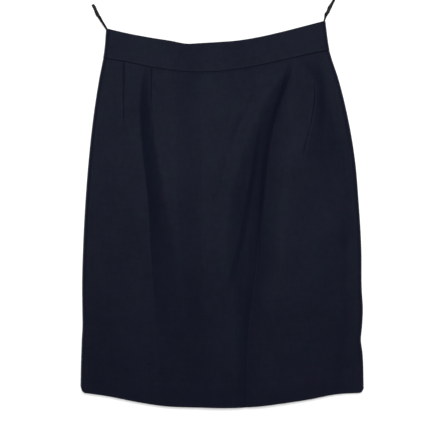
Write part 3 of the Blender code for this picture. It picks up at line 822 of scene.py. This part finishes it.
def nap_group():
    """Slow drifts of tone and hue, slubs of thicker yarn, and a short nap over the cloth."""
    add, given, result = shader_group(
        "cloth nap", {"Place": None, "Drift": 9.0, "Fibre": 900.0, "Slub": 560.0},
        ("Tone", "Nap", "Slubs", "Hue"))
    place = given["Place"]
    slow = add.noise(place, given["Drift"], 3.0, 0.55)
    quicker = add.noise(place, 120.0, 3.0, 0.6)
    down = add.noise(add.drawn_out(place, (1.0, 0.09, 1.0)), given["Slub"], 1.0)
    over = add.noise(add.drawn_out(place, (0.11, 1.0, 1.0)), given["Slub"], 1.0)
    add.feed(result["Tone"], add.span(add.balance(slow, quicker, 0.6), 0.35, 0.65))
    add.feed(result["Nap"], add.noise(add.drawn_out(place, (1.0, 0.35, 1.0)), given["Fibre"], 2.0))
    add.feed(result["Slubs"], add.span(add.balance(down, over, 0.55), 0.36, 0.64))
    add.feed(result["Hue"], add.span(add.noise(place, 34.0, 2.0), 0.38, 0.62))
    return add.tree


def wear_group():
    """Scattered rubbed spots, and a fine grit."""
    add, given, result = shader_group(
        "rubbed spots", {"Place": None, "Scale": 900.0, "Share": 0.3}, ("Spots", "Grit"))
    patches = add.noise(given["Place"], given["Scale"], 4.0, 0.65)
    level = add.minus(0.78, add.times(given["Share"], 0.4))
    add.feed(result["Spots"], add.span(patches, level, add.plus(level, 0.06)))
    add.feed(result["Grit"], add.noise(given["Place"], 6000.0, 2.0))
    return add.tree


class Finish(Nodes):
    """A material in the making, with the patterns that the finishes share."""

    def __init__(self, name, groups):
        self.material = bpy.data.materials.new(name)
        self.material.use_nodes = True
        super().__init__(self.material.node_tree)
        self.shader = self.tree.nodes["Principled BSDF"].inputs
        self.groups = groups

    def weave(self, **sizes):
        grain = self.put("ShaderNodeUVMap", {"uv_map": "grain"}).outputs["UV"]
        twill = {"node_tree": self.groups["twill"]}
        return self.put("ShaderNodeGroup", twill, Grain=grain, **sizes).outputs

    def over(self, group, **sizes):
        """A pattern that reads the place on the piece."""
        place = self.put("ShaderNodeTexCoord").outputs["Object"]
        pattern = {"node_tree": self.groups[group]}
        return self.put("ShaderNodeGroup", pattern, Place=place, **sizes).outputs

    def finished(self, colour, roughness, height, strength, depth, **plain):
        """Joins the patterns to the shader; what is the same all over is set on its sockets."""
        bump = self.put("ShaderNodeBump", Height=height, Strength=strength, Distance=depth)
        self.feed(self.shader["Base Color"], colour)
        self.feed(self.shader["Roughness"], roughness)
        self.feed(self.shader["Normal"], bump.outputs["Normal"])
        for label, value in plain.items():
            self.shader[label.replace("_", " ")].default_value = value
        return self.material


def tinted(colour, red, green, blue):
    return (colour[0] * red, colour[1] * green, colour[2] * blue)


def wool(groups):
    """Worsted twill in a very dark navy: pale slubs, dark furrows, and edges paler, partly from wear and
    partly a painted sheen on the rims.
    """
    deep, light = (0.0029, 0.0034, 0.0083), (0.0043, 0.0049, 0.0112)
    violet, steel = tinted(light, 1.18, 0.94, 1.04), tinted(light, 0.82, 1.08, 0.96)
    make = Finish("navy wool twill", groups)
    weave, nap = make.weave(), make.over("nap")
    edge = make.put("ShaderNodeAttribute", {"attribute_name": "edge"}).outputs["Fac"]
    drifted = make.mix(nap["Tone"], deep, make.mix(nap["Hue"], violet, steel))
    slubbed = make.mix(make.times(nap["Slubs"], 0.32), drifted, tinted(light, 1.7, 1.7, 1.7))
    woven = make.mix(make.times(weave["Furrow"], 0.35), slubbed, tinted(deep, 0.5, 0.5, 0.6))
    # Edges and seams turn paler: partly wear, partly a painted sheen standing in for light caught on the
    # rounded rims.
    worn_and_sheen = make.mix(make.times(edge, 0.45), woven, (0.016, 0.018, 0.028))
    rough = make.span(make.balance(nap["Tone"], nap["Slubs"], 0.5), 0.0, 1.0, 0.46, 0.36)
    pressed = make.minus(rough, make.times(edge, 0.06))
    height = make.plus(weave["Height"], make.times(nap["Nap"], 0.8))
    return make.finished(
        worn_and_sheen, pressed, height, 0.35, 0.00012, Specular_IOR_Level=0.029, Sheen_Weight=0.06,
        Sheen_Roughness=0.45, Sheen_Tint=(0.55, 0.66, 1.0, 1.0), Specular_Tint=(0.72, 0.86, 1.0, 1.0))


def ribbon(groups):
    """Narrow black ribbon with fine ribs across it."""
    make = Finish("hanger ribbon", groups)
    weave, nap = make.weave(Rib=0.5, Yarn=0.4, Drift=0.1), make.over("nap", Drift=60.0, Fibre=1500.0)
    tone = make.mix(nap["Tone"], (0.0052, 0.0048, 0.0066), (0.0088, 0.0082, 0.0108))
    woven = make.mix(make.times(weave["Furrow"], 0.4), tone, (0.003, 0.003, 0.0035))
    rough = make.span(nap["Nap"], 0.3, 0.7, 0.42, 0.55)
    return make.finished(woven, rough, weave["Height"], 0.4, 0.00008, Specular_IOR_Level=0.09)


def zip_webbing(groups):
    """Navy polyester tape, finely woven."""
    make = Finish("zip webbing", groups)
    weave, nap = make.weave(Rib=0.9, Yarn=0.5, Drift=0.05), make.over("nap", Drift=30.0)
    tone = make.mix(nap["Tone"], (0.006, 0.007, 0.015), (0.010, 0.012, 0.024))
    woven = make.mix(make.times(weave["Furrow"], 0.5), tone, (0.003, 0.0035, 0.008))
    rough = make.span(weave["Height"], 0.0, 1.0, 0.62, 0.48)
    return make.finished(woven, rough, weave["Height"], 0.5, 0.0001, Specular_IOR_Level=0.2)


def thread(groups, name, colour, roughness, level):
    """Spun thread or nylon, its tone drifting a little."""
    make = Finish(name, groups)
    nap = make.over("nap", Drift=120.0, Fibre=2500.0)
    tone = make.mix(nap["Tone"], tinted(colour, 0.6, 0.6, 0.6), colour)
    rough = make.span(nap["Nap"], 0.3, 0.7, roughness, roughness + 0.12)
    return make.finished(tone, rough, nap["Nap"], 0.3, 0.00006, Specular_IOR_Level=level)


def enamelled_metal(groups):
    """Navy enamel over brass, rubbed through in small spots."""
    make = Finish("enamelled zip metal", groups)
    rubbed, nap = make.over("wear", Scale=700.0, Share=0.35), make.over("nap", Drift=200.0)
    enamel = make.mix(nap["Tone"], (0.008, 0.010, 0.020), (0.013, 0.016, 0.030))
    make.feed(make.shader["Metallic"], rubbed["Spots"])
    rough = make.span(rubbed["Grit"], 0.3, 0.7, 0.26, 0.40)
    brassy = make.mix(rubbed["Spots"], enamel, (0.30, 0.22, 0.11))
    return make.finished(brassy, rough, rubbed["Grit"], 0.15, 0.00004)


# ---- repeated along a path ------------------------------------------------------------------

def row_tree(name, sizes):
    """A tree for what repeats along a path: its nodes, what it is given, and its result."""
    tree = bpy.data.node_groups.new(name, "GeometryNodeTree")
    tree.interface.new_socket("Geometry", in_out="INPUT", socket_type="NodeSocketGeometry")
    for label, value in sizes.items():
        socket = tree.interface.new_socket(label, in_out="INPUT", socket_type="NodeSocketFloat")
        socket.default_value = value * MM
    tree.interface.new_socket("Material", in_out="INPUT", socket_type="NodeSocketMaterial")
    tree.interface.new_socket("Geometry", in_out="OUTPUT", socket_type="NodeSocketGeometry")
    given, result = tree.nodes.new("NodeGroupInput"), tree.nodes.new("NodeGroupOutput")
    return Nodes(tree), given.outputs, result.inputs["Geometry"]


def set_along(add, given, result, shape, sway):
    """Puts the shape at every pitch along the path, turned along it, in the given material."""
    path = add.put("GeometryNodeMeshToCurve", Mesh=given["Geometry"])
    stations = add.put("GeometryNodeResampleCurve", {"mode": "LENGTH"}, Curve=path.outputs["Curve"],
                       Length=given["Pitch"])
    tangent = add.put("GeometryNodeInputTangent")
    turned = add.put("FunctionNodeAlignRotationToVector", {"axis": "Y"},
                     Vector=tangent.outputs["Tangent"])
    chance = add.put("FunctionNodeRandomValue", {"data_type": "FLOAT"}, Seed=7)
    add.feed(chance.inputs[2], -sway)
    add.feed(chance.inputs[3], sway)
    askew = add.put("ShaderNodeCombineXYZ", Z=chance.outputs[1])
    swayed = add.put("FunctionNodeRotateRotation", {"rotation_space": "LOCAL"},
                     Rotation=turned.outputs["Rotation"], Rotate_By=askew.outputs["Vector"])
    set_out = add.put("GeometryNodeInstanceOnPoints", Points=stations.outputs["Curve"], Instance=shape,
                      Rotation=swayed.outputs["Rotation"])
    real = add.put("GeometryNodeRealizeInstances", Geometry=set_out.outputs["Instances"])
    finished = add.put("GeometryNodeSetMaterial", Geometry=real.outputs["Geometry"],
                       Material=given["Material"])
    add.feed(result, finished.outputs["Geometry"])
    return add.tree


def stitch_tree():
    """A row of sewn stitches: small long beads, a little askew."""
    add, given, result = row_tree("stitch row", STITCH_SIZE)
    bead = add.put("GeometryNodeMeshUVSphere", Segments=8, Rings=5, Radius=0.5)
    size = add.put("ShaderNodeCombineXYZ", X=given["Width"], Y=given["Length"], Z=given["Width"])
    long_bead = add.put("GeometryNodeTransform", Geometry=bead.outputs["Mesh"],
                        Scale=size.outputs["Vector"])
    return set_along(add, given, result, long_bead.outputs["Geometry"], STITCH_SWAY)


def coil_tree():
    """The turns of a nylon zip coil: flattened rings of wire across the path."""
    add, given, result = row_tree("zip coil", COIL_SIZE)
    ring = add.put("GeometryNodeCurvePrimitiveCircle", Resolution=12, Radius=1.0)
    upright_ring = add.put("GeometryNodeTransform", Geometry=ring.outputs["Curve"],
                           Rotation=(math.pi / 2, 0.0, 0.0))
    half_height = add.times(given["Height"], 0.5)
    size = add.put("ShaderNodeCombineXYZ", X=given["Half Width"], Y=1.0, Z=half_height)
    flattened = add.put("GeometryNodeTransform", Geometry=upright_ring.outputs["Geometry"],
                        Scale=size.outputs["Vector"])
    section = add.put("GeometryNodeCurvePrimitiveCircle", Resolution=6, Radius=given["Wire"])
    turn = add.put("GeometryNodeCurveToMesh", Curve=flattened.outputs["Geometry"],
                   Profile_Curve=section.outputs["Curve"])
    return set_along(add, given, result, turn.outputs["Mesh"], 0.0)


def repeated(path, tree, sizes, material):
    """A plain mesh of what the tree sets along a path, all given in millimetres."""
    line = bpy.data.meshes.new("path")
    line.from_pydata(placed(path).tolist(), [(n, n + 1) for n in range(len(path) - 1)], [])
    carrier = linked("path", line)
    layer = carrier.modifiers.new("repeat", "NODES")
    layer.node_group = tree
    sockets = tree.interface.items_tree
    identifiers = {item.name: item.identifier for item in sockets if item.in_out == "INPUT"}
    for label, value in sizes.items():
        layer[identifiers[label]] = value * MM
    layer[identifiers["Material"]] = material
    bpy.context.view_layer.update()
    evaluated = carrier.evaluated_get(bpy.context.evaluated_depsgraph_get())
    mesh = bpy.data.meshes.new_from_object(evaluated)
    carrier.modifiers.remove(layer)
    bpy.data.objects.remove(carrier, do_unlink=True)
    mesh.materials.clear()
    mesh.materials.append(material)
    for face in mesh.polygons:
        face.material_index = 0
    return linked("repeated", mesh)


# ---- pieces -------------------------------------------------------------------------------

def guide_shares(lines, lower, upper, up):
    """Where each upright line crosses every row of a patch, as shares across."""
    left, right = (patch(lower, upper, np.full((len(up), 1), end), up)[0][:, 0] for end in (0.0, 1.0))
    shares = []
    for line in lines:
        across = np.full(len(up), 0.5)
        for _ in range(GUIDE_PASSES):
            _, rise = patch(lower, upper, across[:, None], up)
            across = ((line(rise[:, 0]) - left) / (right - left)).clip(*GUIDE_LIMITS)
        shares.append(across)
    return np.array(shares).reshape(len(lines), len(up))


def sheet_grid(lower, upper, lines, grid, thickness, inset=0.0, span=(0.0, 1.0)):
    """x, rise, shares across and up, and rim fullness, with columns of points along the lines."""
    steps = int(grid.height / grid.row_gap) + 1
    up, up_full = rimmed(np.linspace(0, 1, steps), grid.height, thickness)
    reach = span[1] - span[0]
    marks = (guide_shares(lines, lower, upper, up) - span[0]) / reach
    base = marks[:, -1]
    plain = spaced(base * grid.width, grid.width) / grid.width
    places, across_full = rimmed(plain, grid.width, thickness)
    rows = [np.interp(places, [0, *base, 1], [0, *row, 1]) for row in marks.T]
    across = span[0] + reach * np.array(rows)
    x, rise = patch(lower, upper, across, up, inset)
    return x, rise, across, up, up_full[:, None] * across_full[None, :]


def front_wear_and_sheen(inward, from_seams):
    """How rubbed the front is, and how much painted sheen it takes: most along its sides, less along its
    flat seams and hem.
    """
    return np.maximum(np.exp(-inward / SIDE_WEAR_AND_SHEEN), SEAM_WEAR_AND_SHEEN_SHARE * np.exp(-from_seams / SEAM_WEAR_AND_SHEEN))


def front_panel(materials):
    left_lines = [line_down(guide) for guide in FRONT_LEFT_GUIDES]
    lines = [*left_lines, line_down(HOLLOWS["deep fold"]), line_down(FRONT_RIGHT_GUIDE)]
    upper = seam_side(waist_seam, -1)
    x, rise, across, up, full = sheet_grid(hem, upper, lines, FRONT_GRID, CLOTH)
    inward = inside_seams(x, rise).clip(0)
    below_seam, above_hem = upper(across) - rise, rise - hem(across)
    folds, grooves = dart_relief(x, rise, DARTS, middle_x(rise))
    hemmed = ease((HEM_DEPTH - above_hem) / HEM_FADE)
    z = FRONT_BED + PANEL_WALL / 2 + front_lift(x, rise) + folds - grooves + HEM_EXTRA / 2 * hemmed
    z -= turned_in(inward, FRONT_SIDE) + turned_in(below_seam, FRONT_WAIST)
    # Nearness to an edge, which the wool paints paler: partly wear, partly a painted sheen.
    edge = front_wear_and_sheen(inward, np.minimum(above_hem, below_seam).clip(0))
    middle = together(x + TUCK_UNDER * tuck(x, rise), rise, z)
    piece = cloth("skirt_front", middle, (CLOTH + HEM_EXTRA * hemmed) * full, together(x, rise), edge,
                  materials["wool"])
    return ridden(piece, "wool", "front_panel")


def front_band(materials):
    lower = seam_side(waist_seam, 1)
    lines = [line_down(BAND_GUIDE)]
    x, rise, across, up, full = sheet_grid(lower, top_edge, lines, FRONT_BAND_GRID, BAND)
    inward = inside_seams(x, rise).clip(0)
    from_edges = np.minimum(rise - lower(across), top_edge(across) - rise).clip(0)
    z = BAND_BED + BAND_WALL / 2 + SIDE_PUFF * off_sides(inward) + over_zip(x, rise)
    z += BAND_UNEVEN * unevenness(x, rise) - turned_in(inward, BAND_SIDE)
    # The edge mask below is painted paler by the wool: partly wear, partly a painted sheen.
    piece = cloth("waistband_front_cloth", together(x, rise, z), BAND * full,
                  together(across * BAND_LENGTH, up[:, None] * BAND_DEPTH),
                  front_wear_and_sheen(inward, from_edges), materials["wool"])
    return ridden(piece, "wool", "waistband_front")


def opened(x, across, side, half_gap):
    """Pulls the edge at the centre back seam aside by half the gap there."""
    return x + HALVES[side] * half_gap * ease(1 - np.abs(across - 0.5) / OPEN_REACH)


def back_half(side, lower, upper, grid, thickness, lines=()):
    """One half of the back, or of its band: grid, share across, rim fullness and edge distances."""
    span = (0.0, 0.5) if side == "left" else (0.5, 1.0)
    x, rise, across, _, full = sheet_grid(lower, upper, lines, grid, thickness, BACK_INSET, span)
    return x, rise, across, full, inside_seams(x, rise).clip(0), np.abs(x - middle_x(rise))


def back_panel(materials, side):
    top = back_seam(0.5)
    darts = {}
    for dart in BACK_DARTS:
        high, low = top + BACK_DART_HEAD, top - dart.length
        places = ((high, dart.top), ((high + low) / 2, (dart.top + dart.tip) / 2), (low, dart.tip))
        darts[dart] = [Mark(rise, float(middle_x(rise)) + HALVES[side] * off) for rise, off in places]
    lines = [line_down((rows[0], rows[-1], Mark(0, rows[-1].x))) for rows in darts.values()]
    lines = lines[::HALVES[side]]
    upper = seam_side(back_seam, -1)
    x, rise, across, full, outward, from_seam = back_half(side, back_hem, upper, BACK_GRID, CLOTH, lines)
    x = opened(x, across, side, SEAM_GAP / 2)
    below_seam = (upper(across) - rise).clip(0)
    above_hem = (rise - back_hem(across)).clip(0)
    folds, grooves = dart_relief(x, rise, darts, middle_x(rise))
    z = BACK_BED + CLOTH / 2 + zip_lift(x, rise) + grooves + folds / 2
    z += turned_in(outward, BACK_SIDE) + turned_in(below_seam, BACK_WAIST)
    z += turned_in(from_seam, BACK_CENTRE)
    # Nearness to an edge, which the wool paints paler: partly wear, partly a painted sheen.
    edge = np.exp(-np.min([outward, above_hem, below_seam, from_seam], axis=0) / SEAM_WEAR_AND_SHEEN)
    piece = cloth("skirt_back_" + side, together(x, rise, z), (CLOTH + folds) * full, together(x, rise),
                  edge, materials["wool"])
    return ridden(piece, "wool", "back_panel_" + side)


def back_band(materials, side):
    lower = seam_side(back_seam, 1)
    x, rise, across, full, _, from_seam = back_half(side, lower, back_top, BACK_BAND_GRID, BAND)
    slot_foot = back_top(0.5) - SLIDER_DROP - SLIDER_LENGTH / 2
    in_slot = ease((rise - slot_foot + SLOT_DROP) / SLOT_FADE)
    x = opened(x, across, side, SEAM_GAP / 2 + (SLOT_HALF - SEAM_GAP / 2) * in_slot)
    from_ends = np.minimum(rise - lower(across), back_top(across) - rise).clip(0)
    z = BACK_BED + BAND / 2 + zip_lift(x, rise) + turned_in(from_ends, BACK_BAND_ENDS)
    # The last mask is nearness to an edge, which the wool paints paler: partly wear, partly a painted
    # sheen.
    piece = cloth("waistband_back_%s_cloth" % side, together(x, rise, z), BAND * full,
                  together(across * BAND_LENGTH, rise - lower(across)),
                  np.exp(-np.minimum(from_ends, from_seam) / SEAM_WEAR_AND_SHEEN), materials["wool"])
    return ridden(piece, "wool", "waistband_back_" + side)


def squarer(wave, power):
    """A sine or cosine filled out, so that a circle becomes a rounded square."""
    return np.sign(wave) * np.abs(wave) ** power


def tube(name, centres, asides, ups, half_widths, half_wall, material, section):
    """A closed strip of rounded section that follows the given middle points."""
    turn = np.linspace(0, 2 * np.pi, section.points, endpoint=False)
    wide = half_widths[:, None] * squarer(np.cos(turn), 2 / section.power)
    high = half_wall * squarer(np.sin(turn), 2 / section.power)
    rings = centres[:, None] + asides[:, None] * wide[..., None] + ups[:, None] * high[:, None]
    mesh = new_mesh(name, rings.reshape(-1, 3), skin(len(centres), section.points), material)
    run = np.concatenate([[0], np.cumsum(np.linalg.norm(np.diff(centres, axis=0), axis=1))])
    lay_grain(mesh, together(wide, run[:, None]).reshape(-1, 2))
    face_outwards(mesh)
    mesh.shade_smooth()
    return linked(name, mesh)


def hanger_loop(materials, side):
    """One ribbon: out from the band, round a tight bend, and back over itself."""
    rows = LOOPS[side]
    marks, fine = np.linspace(0, 1, len(rows)), np.linspace(0, 1, RIBBON_STEPS)
    out = {field: curve(marks, [getattr(row, field) for row in rows])(fine) for field in Strand._fields}
    along = unit(together(np.gradient(out["x"]), np.gradient(out["rise"])))
    aside = together(-along[:, 1], along[:, 0], 0)
    shift = curve(marks, RETURN_ASIDE[side])(fine)
    lift = RETURN_LIFT * (1 + ease(fine / RETURN_EASE)) / 2
    going = together(out["x"], out["rise"], out["z"])
    coming = going + aside * shift[:, None] + together(0, 0, lift)
    turns = np.linspace(0, np.pi, BEND_STEPS)[1:-1]
    tip, radius = (going[-1] + coming[-1]) / 2, (coming[-1, 2] - going[-1, 2]) / 2
    bend = [tip + radius * (np.array([*along[-1], 0]) * np.sin(turn) - np.array([0, 0, np.cos(turn)]))
            for turn in turns]

    def there_and_back(going, coming):
        """Out along the strand, held round the bend, and back over it."""
        return np.concatenate([going, np.repeat(going[-1:], len(turns), 0), coming[::-1]])

    centres = np.concatenate([going, bend, coming[::-1]])
    rolled = out["roll"] + RETURN_ROLL * np.sin(np.pi * fine)
    roll = np.radians(there_and_back(out["roll"], rolled))[:, None]
    width = there_and_back(out["width"], out["width"])
    level = there_and_back(aside, aside)
    path = unit(np.gradient(centres, axis=0))
    turning = np.concatenate([np.ones(len(going)), np.cos(turns), -np.ones(len(coming))])[:, None]
    asides = unit(np.cos(roll) * level + np.sin(roll) * turning * unit(np.cross(path, level)))
    lowest = centres[:, 2] - np.abs(asides[:, 2]) * width / 2 - RIBBON_CLEAR
    centres[:, 2] -= np.minimum(lowest, 0)
    piece = tube("ribbon_loop_" + side, centres, asides, np.cross(path, asides), width / 2,
                 RIBBON_WALL / 2, materials["ribbon"], RIBBON_SECTION)
    return ridden(piece, "hanger_tape", "hanger_loop_" + side)


def zip_tape(materials):
    """Two woven tapes side by side, each from the coil outwards, on the back's inner face."""
    head = slider_place()[1] + TAPE_HEAD
    rises = np.linspace(head - ZIP_LENGTH, head, TAPE_STEPS)
    pieces = []
    for side, sign in HALVES.items():
        x = zip_line(rises) + sign * (TAPE_WIDTH / 4 + TAPE_GAP)
        centres = together(x, rises, inner_face(x, rises) + TAPE_CLEAR + TAPE_WALL / 2)
        path = unit(np.gradient(centres, axis=0))
        aside = np.tile([1.0, 0.0, 0.0], (len(rises), 1))
        half = np.full(len(rises), TAPE_WIDTH / 4 - TAPE_GAP)
        pieces.append(tube("zip_tape_" + side, centres, aside, np.cross(aside, path), half,
                           TAPE_WALL / 2, materials["tape"], TAPE_SECTION))
    return ridden(joined("zip_tapes", pieces), "zip_tape", "zip_tape")


def zip_coils(materials, trees):
    """The two interlocked rows of the coil, from the foot of the zip to its slider."""
    _, top = slider_place()
    pieces = []
    for side, sign in HALVES.items():
        start = COIL_SIZE["Pitch"] / 2 if side == "right" else 0.0
        rises = np.arange(top - ZIP_LENGTH + COIL_FOOT + start, top - COIL_HEAD, COIL_STEP)
        x = zip_line(rises) + sign * (COIL_SIZE["Half Width"] - COIL_OVERLAP)
        z = inner_face(x, rises) + COIL_CLEAR + TAPE_WALL + COIL_SIZE["Height"] / 2
        pieces.append(repeated(together(x, rises, z), trees["coil"], COIL_SIZE, materials["nylon"]))
    return ridden(joined("zip_coil", pieces), "zip_tape")


def zip_stitches(materials, trees):
    """A row each side of the centre back seam holds the zip, with a bar tack at its foot."""
    _, top = slider_place()
    foot = top - ZIP_LENGTH + ZIP_STITCH_END
    pieces = []
    for sign in HALVES.values():
        rises = np.arange(foot, top - ZIP_STITCH_END, STITCH_STEP)
        x = zip_line(rises) + sign * ZIP_STITCH_ASIDE
        path = together(x, rises, BACK_BED + zip_lift(x, rises) + STITCH_SUNK)
        pieces.append(repeated(path, trees["stitch"], STITCH_SIZE, materials["thread"]))
    tack_x = zip_line(foot) + np.linspace(-ZIP_STITCH_ASIDE, ZIP_STITCH_ASIDE, ZIP_TACK_POINTS)
    for row in range(TACK_ROWS):
        path = together(tack_x, foot - ZIP_TACK_GAP * row, BACK_BED + TACK_SUNK)
        pieces.append(repeated(path, trees["stitch"], ZIP_TACK_SIZE, materials["thread"]))
    return ridden(joined("zip_stitching", pieces), "wool")


def loop_tacks(materials, trees):
    """The bar tacks that hold the ribbon ends between the band's two faces."""
    pieces = []
    for base, *_ in LOOPS.values():
        x = np.linspace(base.x - LOOP_TACK_HALF, base.x + LOOP_TACK_HALF, LOOP_TACK_POINTS)
        for row in range(TACK_ROWS):
            path = together(x, base.rise + LOOP_TACK_GAP * row, base.z + LOOP_TACK_UP)
            pieces.append(repeated(path, trees["stitch"], LOOP_TACK_SIZE, materials["thread"]))
    return ridden(joined("loop_tacks", pieces), "hanger_tape")


def outline_of(table, steps):
    """A smooth closed outline from a table of half widths along a length, as x and y."""
    places = np.sin(np.linspace(-np.pi / 2, np.pi / 2, steps)) / 2 + 0.5
    side = column(table, "along", "half_width")(places)
    return np.concatenate([together(side, places), together(-side, places)[::-1]])


def inset(ring, amount):
    """The outline moved inwards by amount."""
    way = unit(np.roll(ring, -1, axis=0) - np.roll(ring, 1, axis=0))
    return ring + amount * together(-way[:, 1], way[:, 0])


def plate(outline, low, high, soften, hole=None):
    """Points and faces of a flat plate with softened edges, and perhaps a hole, anticlockwise."""
    step = PLATE_STEP * soften
    steps = ((low, soften), (low + step, step), (low + soften, 0.0),
             (high - soften, 0.0), (high - step, step), (high, soften))
    rings = [together(*inset(outline, amount).T, z) for z, amount in steps]
    if hole is not None:
        rings += [together(*inset(hole, -amount).T, z) for z, amount in steps[::-1]]
    return np.concatenate(rings), skin(len(rings), len(outline), wraps=hole is not None)


def strap(path, width, wall):
    """Points and faces of a flat strap of the given width along X, bent along a path of y and z."""
    way = unit(np.gradient(path, axis=0))
    out = together(-way[:, 1], way[:, 0]) * wall / 2
    soft, half = wall * STRAP_SOFT, width / 2
    lower = np.array([(-half, soft - 1), (soft - half, -1), (half - soft, -1), (half, soft - 1)])
    corners = np.concatenate([lower, -lower])
    points = [(x, *(place + side * normal)) for place, normal in zip(path, out) for x, side in corners]
    return np.array(points), skin(len(path), len(corners))


def block(centre, size, soften=BLOCK_SOFT):
    """Points and faces of a block with its upright edges cut off."""
    (x, y, z), (wide, long, high) = centre, size
    cut = min(wide, long) * BLOCK_CUT
    half_x, half_y = wide / 2, long / 2
    right = np.array([(half_x, cut - half_y), (half_x, half_y - cut), (half_x - cut, half_y),
                      (cut - half_x, half_y)])
    return plate(np.concatenate([right, -right]) + (x, y), z - high / 2, z + high / 2, soften)


def solid(name, parts, place, material):
    """One mesh from parts given as points and faces in millimetres about a place."""
    points, faces = [], []
    for part_points, part_faces in parts:
        faces += [[len(points) + corner for corner in face] for face in part_faces]
        points += [*part_points]
    mesh = new_mesh(name, np.array(points) + place, faces, material)
    face_outwards(mesh)
    mesh.shade_smooth()
    mesh.set_sharp_from_angle(angle=SHARP)
    return linked(name, mesh)


def zip_slider(materials):
    """Two plates joined by a neck and two side walls, with a bail over the outer plate."""
    outer_low = ZIP_LIFT - SEAM_GAP - PLATE_WALL
    inner_low = ZIP_LIFT + BAND_WALL + SLIDER_ROOM + SEAM_GAP
    inner_top = inner_low + PLATE_WALL
    shield = outline_of(SHIELD, SHIELD_STEPS) * (SLIDER_WIDTH, SLIDER_LENGTH) - (0, SLIDER_LENGTH / 2)
    neck = (0, NECK_FORWARD + SLIDER_LENGTH / 8, (outer_low + inner_top) / 2)
    neck_size = (NECK_WIDTH, SLIDER_LENGTH / 4, inner_top - outer_low - NECK_SHORTER)
    parts = [
        plate(shield * OUTER_PLATE, outer_low, outer_low + PLATE_WALL, OUTER_SOFT),
        plate(shield, inner_low, inner_top, INNER_SOFT),
        block(neck, neck_size),
    ]
    for sign in HALVES.values():
        wall = (sign * SLIDER_WIDTH * WALL_OUT, -SLIDER_LENGTH * WALL_BACK, inner_low - WALL_DROP)
        parts.append(block(wall, (WALL_WIDTH, SLIDER_LENGTH * WALL_LENGTH, WALL_HEIGHT), WALL_SOFT))
    turn = np.linspace(0, np.pi, BAIL_STEPS)
    low, top = SEAM_GAP + BAIL_WALL / 2, outer_low + BAIL_SUNK
    arch = together(BAIL_POST * squarer(np.cos(turn), BAIL_ROUND),
                    top - (top - low) * squarer(np.sin(turn), BAIL_ROUND))
    parts.append(strap(arch, BAIL_WIDTH, BAIL_WALL))
    piece = solid("zip_slider_body", parts, (*slider_place(), 0.0), materials["metal"])
    return ridden(piece, "zip_metal", "zip_slider")


def zip_pull(materials):
    """A slim drop with an eye that hangs from the slider's bail."""
    outline = outline_of(PULL_OUTLINE, PULL_STEPS) * (-PULL_WIDTH, -PULL_LENGTH) + (0, PULL_BAR / 2)
    eye_middle = -(PULL_BAR + EYE_LENGTH) / 2
    angle = np.arctan2(outline[:, 1] - eye_middle, outline[:, 0])
    eye = together(EYE_WIDTH / 2 * squarer(np.cos(angle), EYE_ROUND),
                   eye_middle + EYE_LENGTH / 2 * squarer(np.sin(angle), EYE_ROUND))
    points, faces = plate(outline, -PULL_WALL / 2, PULL_WALL / 2, PULL_SOFT, hole=eye)
    (x, y, z), cos, sin = points.T, math.cos(PULL_SAG), math.sin(PULL_SAG)
    hung = together(x, y * cos - z * sin, y * sin + z * cos)
    pivot = (*slider_place(), SEAM_GAP + BAIL_WALL + BAIL_ROOM / 2)
    piece = solid("zip_pull_tab", [(hung, faces)], pivot, materials["metal"])
    return ridden(piece, "zip_metal", "zip_pull", body=PULL)


# ---- stage --------------------------------------------------------------------------------

def floor():
    """A pale square just under the skirt."""
    half, low = FLOOR_HALF, -FLOOR_DROP
    mesh = bpy.data.meshes.new("surface")
    mesh.from_pydata([(-half, -half, low), (half, -half, low), (half, half, low), (-half, half, low)],
                     [], [(0, 1, 2, 3)])
    material = bpy.data.materials.new("pale surface")
    material.use_nodes = True
    shader = material.node_tree.nodes["Principled BSDF"].inputs
    shader["Base Color"].default_value = (0.86, 0.86, 0.86, 1.0)
    shader["Roughness"].default_value = 0.9
    mesh.materials.append(material)
    linked("surface", mesh)


def soft_light(name, place, aim, size, watts):
    lamp = bpy.data.lights.new(name, "AREA")
    lamp.shape = "RECTANGLE"
    lamp.size, lamp.size_y = size
    lamp.energy = watts
    light = linked(name, lamp)
    light.location = place
    light.rotation_euler = (Vector(aim) - Vector(place)).to_track_quat("-Z", "Y").to_euler()


def studio():
    world = bpy.data.worlds.new("studio")
    world.use_nodes = True
    background = world.node_tree.nodes["Background"].inputs
    background["Color"].default_value = (1.0, 1.0, 1.0, 1.0)
    background["Strength"].default_value = 0.40
    bpy.context.scene.world = world
    soft_light("overhead", (0.0, 0.42, 1.85), (0.0, 0.32, 0.0), (0.55, 1.5), 44.0)
    bpy.context.scene.view_settings.view_transform = "Standard"


def camera():
    """Straight above, looking down, with the waist at the top."""
    lens = bpy.data.cameras.new("camera")
    lens.lens, lens.sensor_width = LENS, SENSOR
    seen = linked("camera", lens)
    seen.location = (*VIEW_MIDDLE, VIEW_WIDTH * LENS / SENSOR + VIEW_LEVEL)
    bpy.context.scene.camera = seen


def main():
    groups = {"twill": twill_group(), "nap": nap_group(), "wear": wear_group()}
    materials = {
        "wool": wool(groups),
        "ribbon": ribbon(groups),
        "tape": zip_webbing(groups),
        "nylon": thread(groups, "navy nylon", (0.012, 0.014, 0.030), 0.34, 0.3),
        "thread": thread(groups, "navy thread", (0.008, 0.009, 0.021), 0.45, 0.15),
        "metal": enamelled_metal(groups),
    }
    trees = {"stitch": stitch_tree(), "coil": coil_tree()}
    pieces = [front_panel(materials), front_band(materials)]
    for side in HALVES:
        pieces += [back_panel(materials, side), back_band(materials, side), hanger_loop(materials, side)]
    pieces += [zip_tape(materials), zip_coils(materials, trees), zip_stitches(materials, trees),
               loop_tacks(materials, trees), zip_slider(materials), zip_pull(materials)]
    floor()
    studio()
    camera()


main()
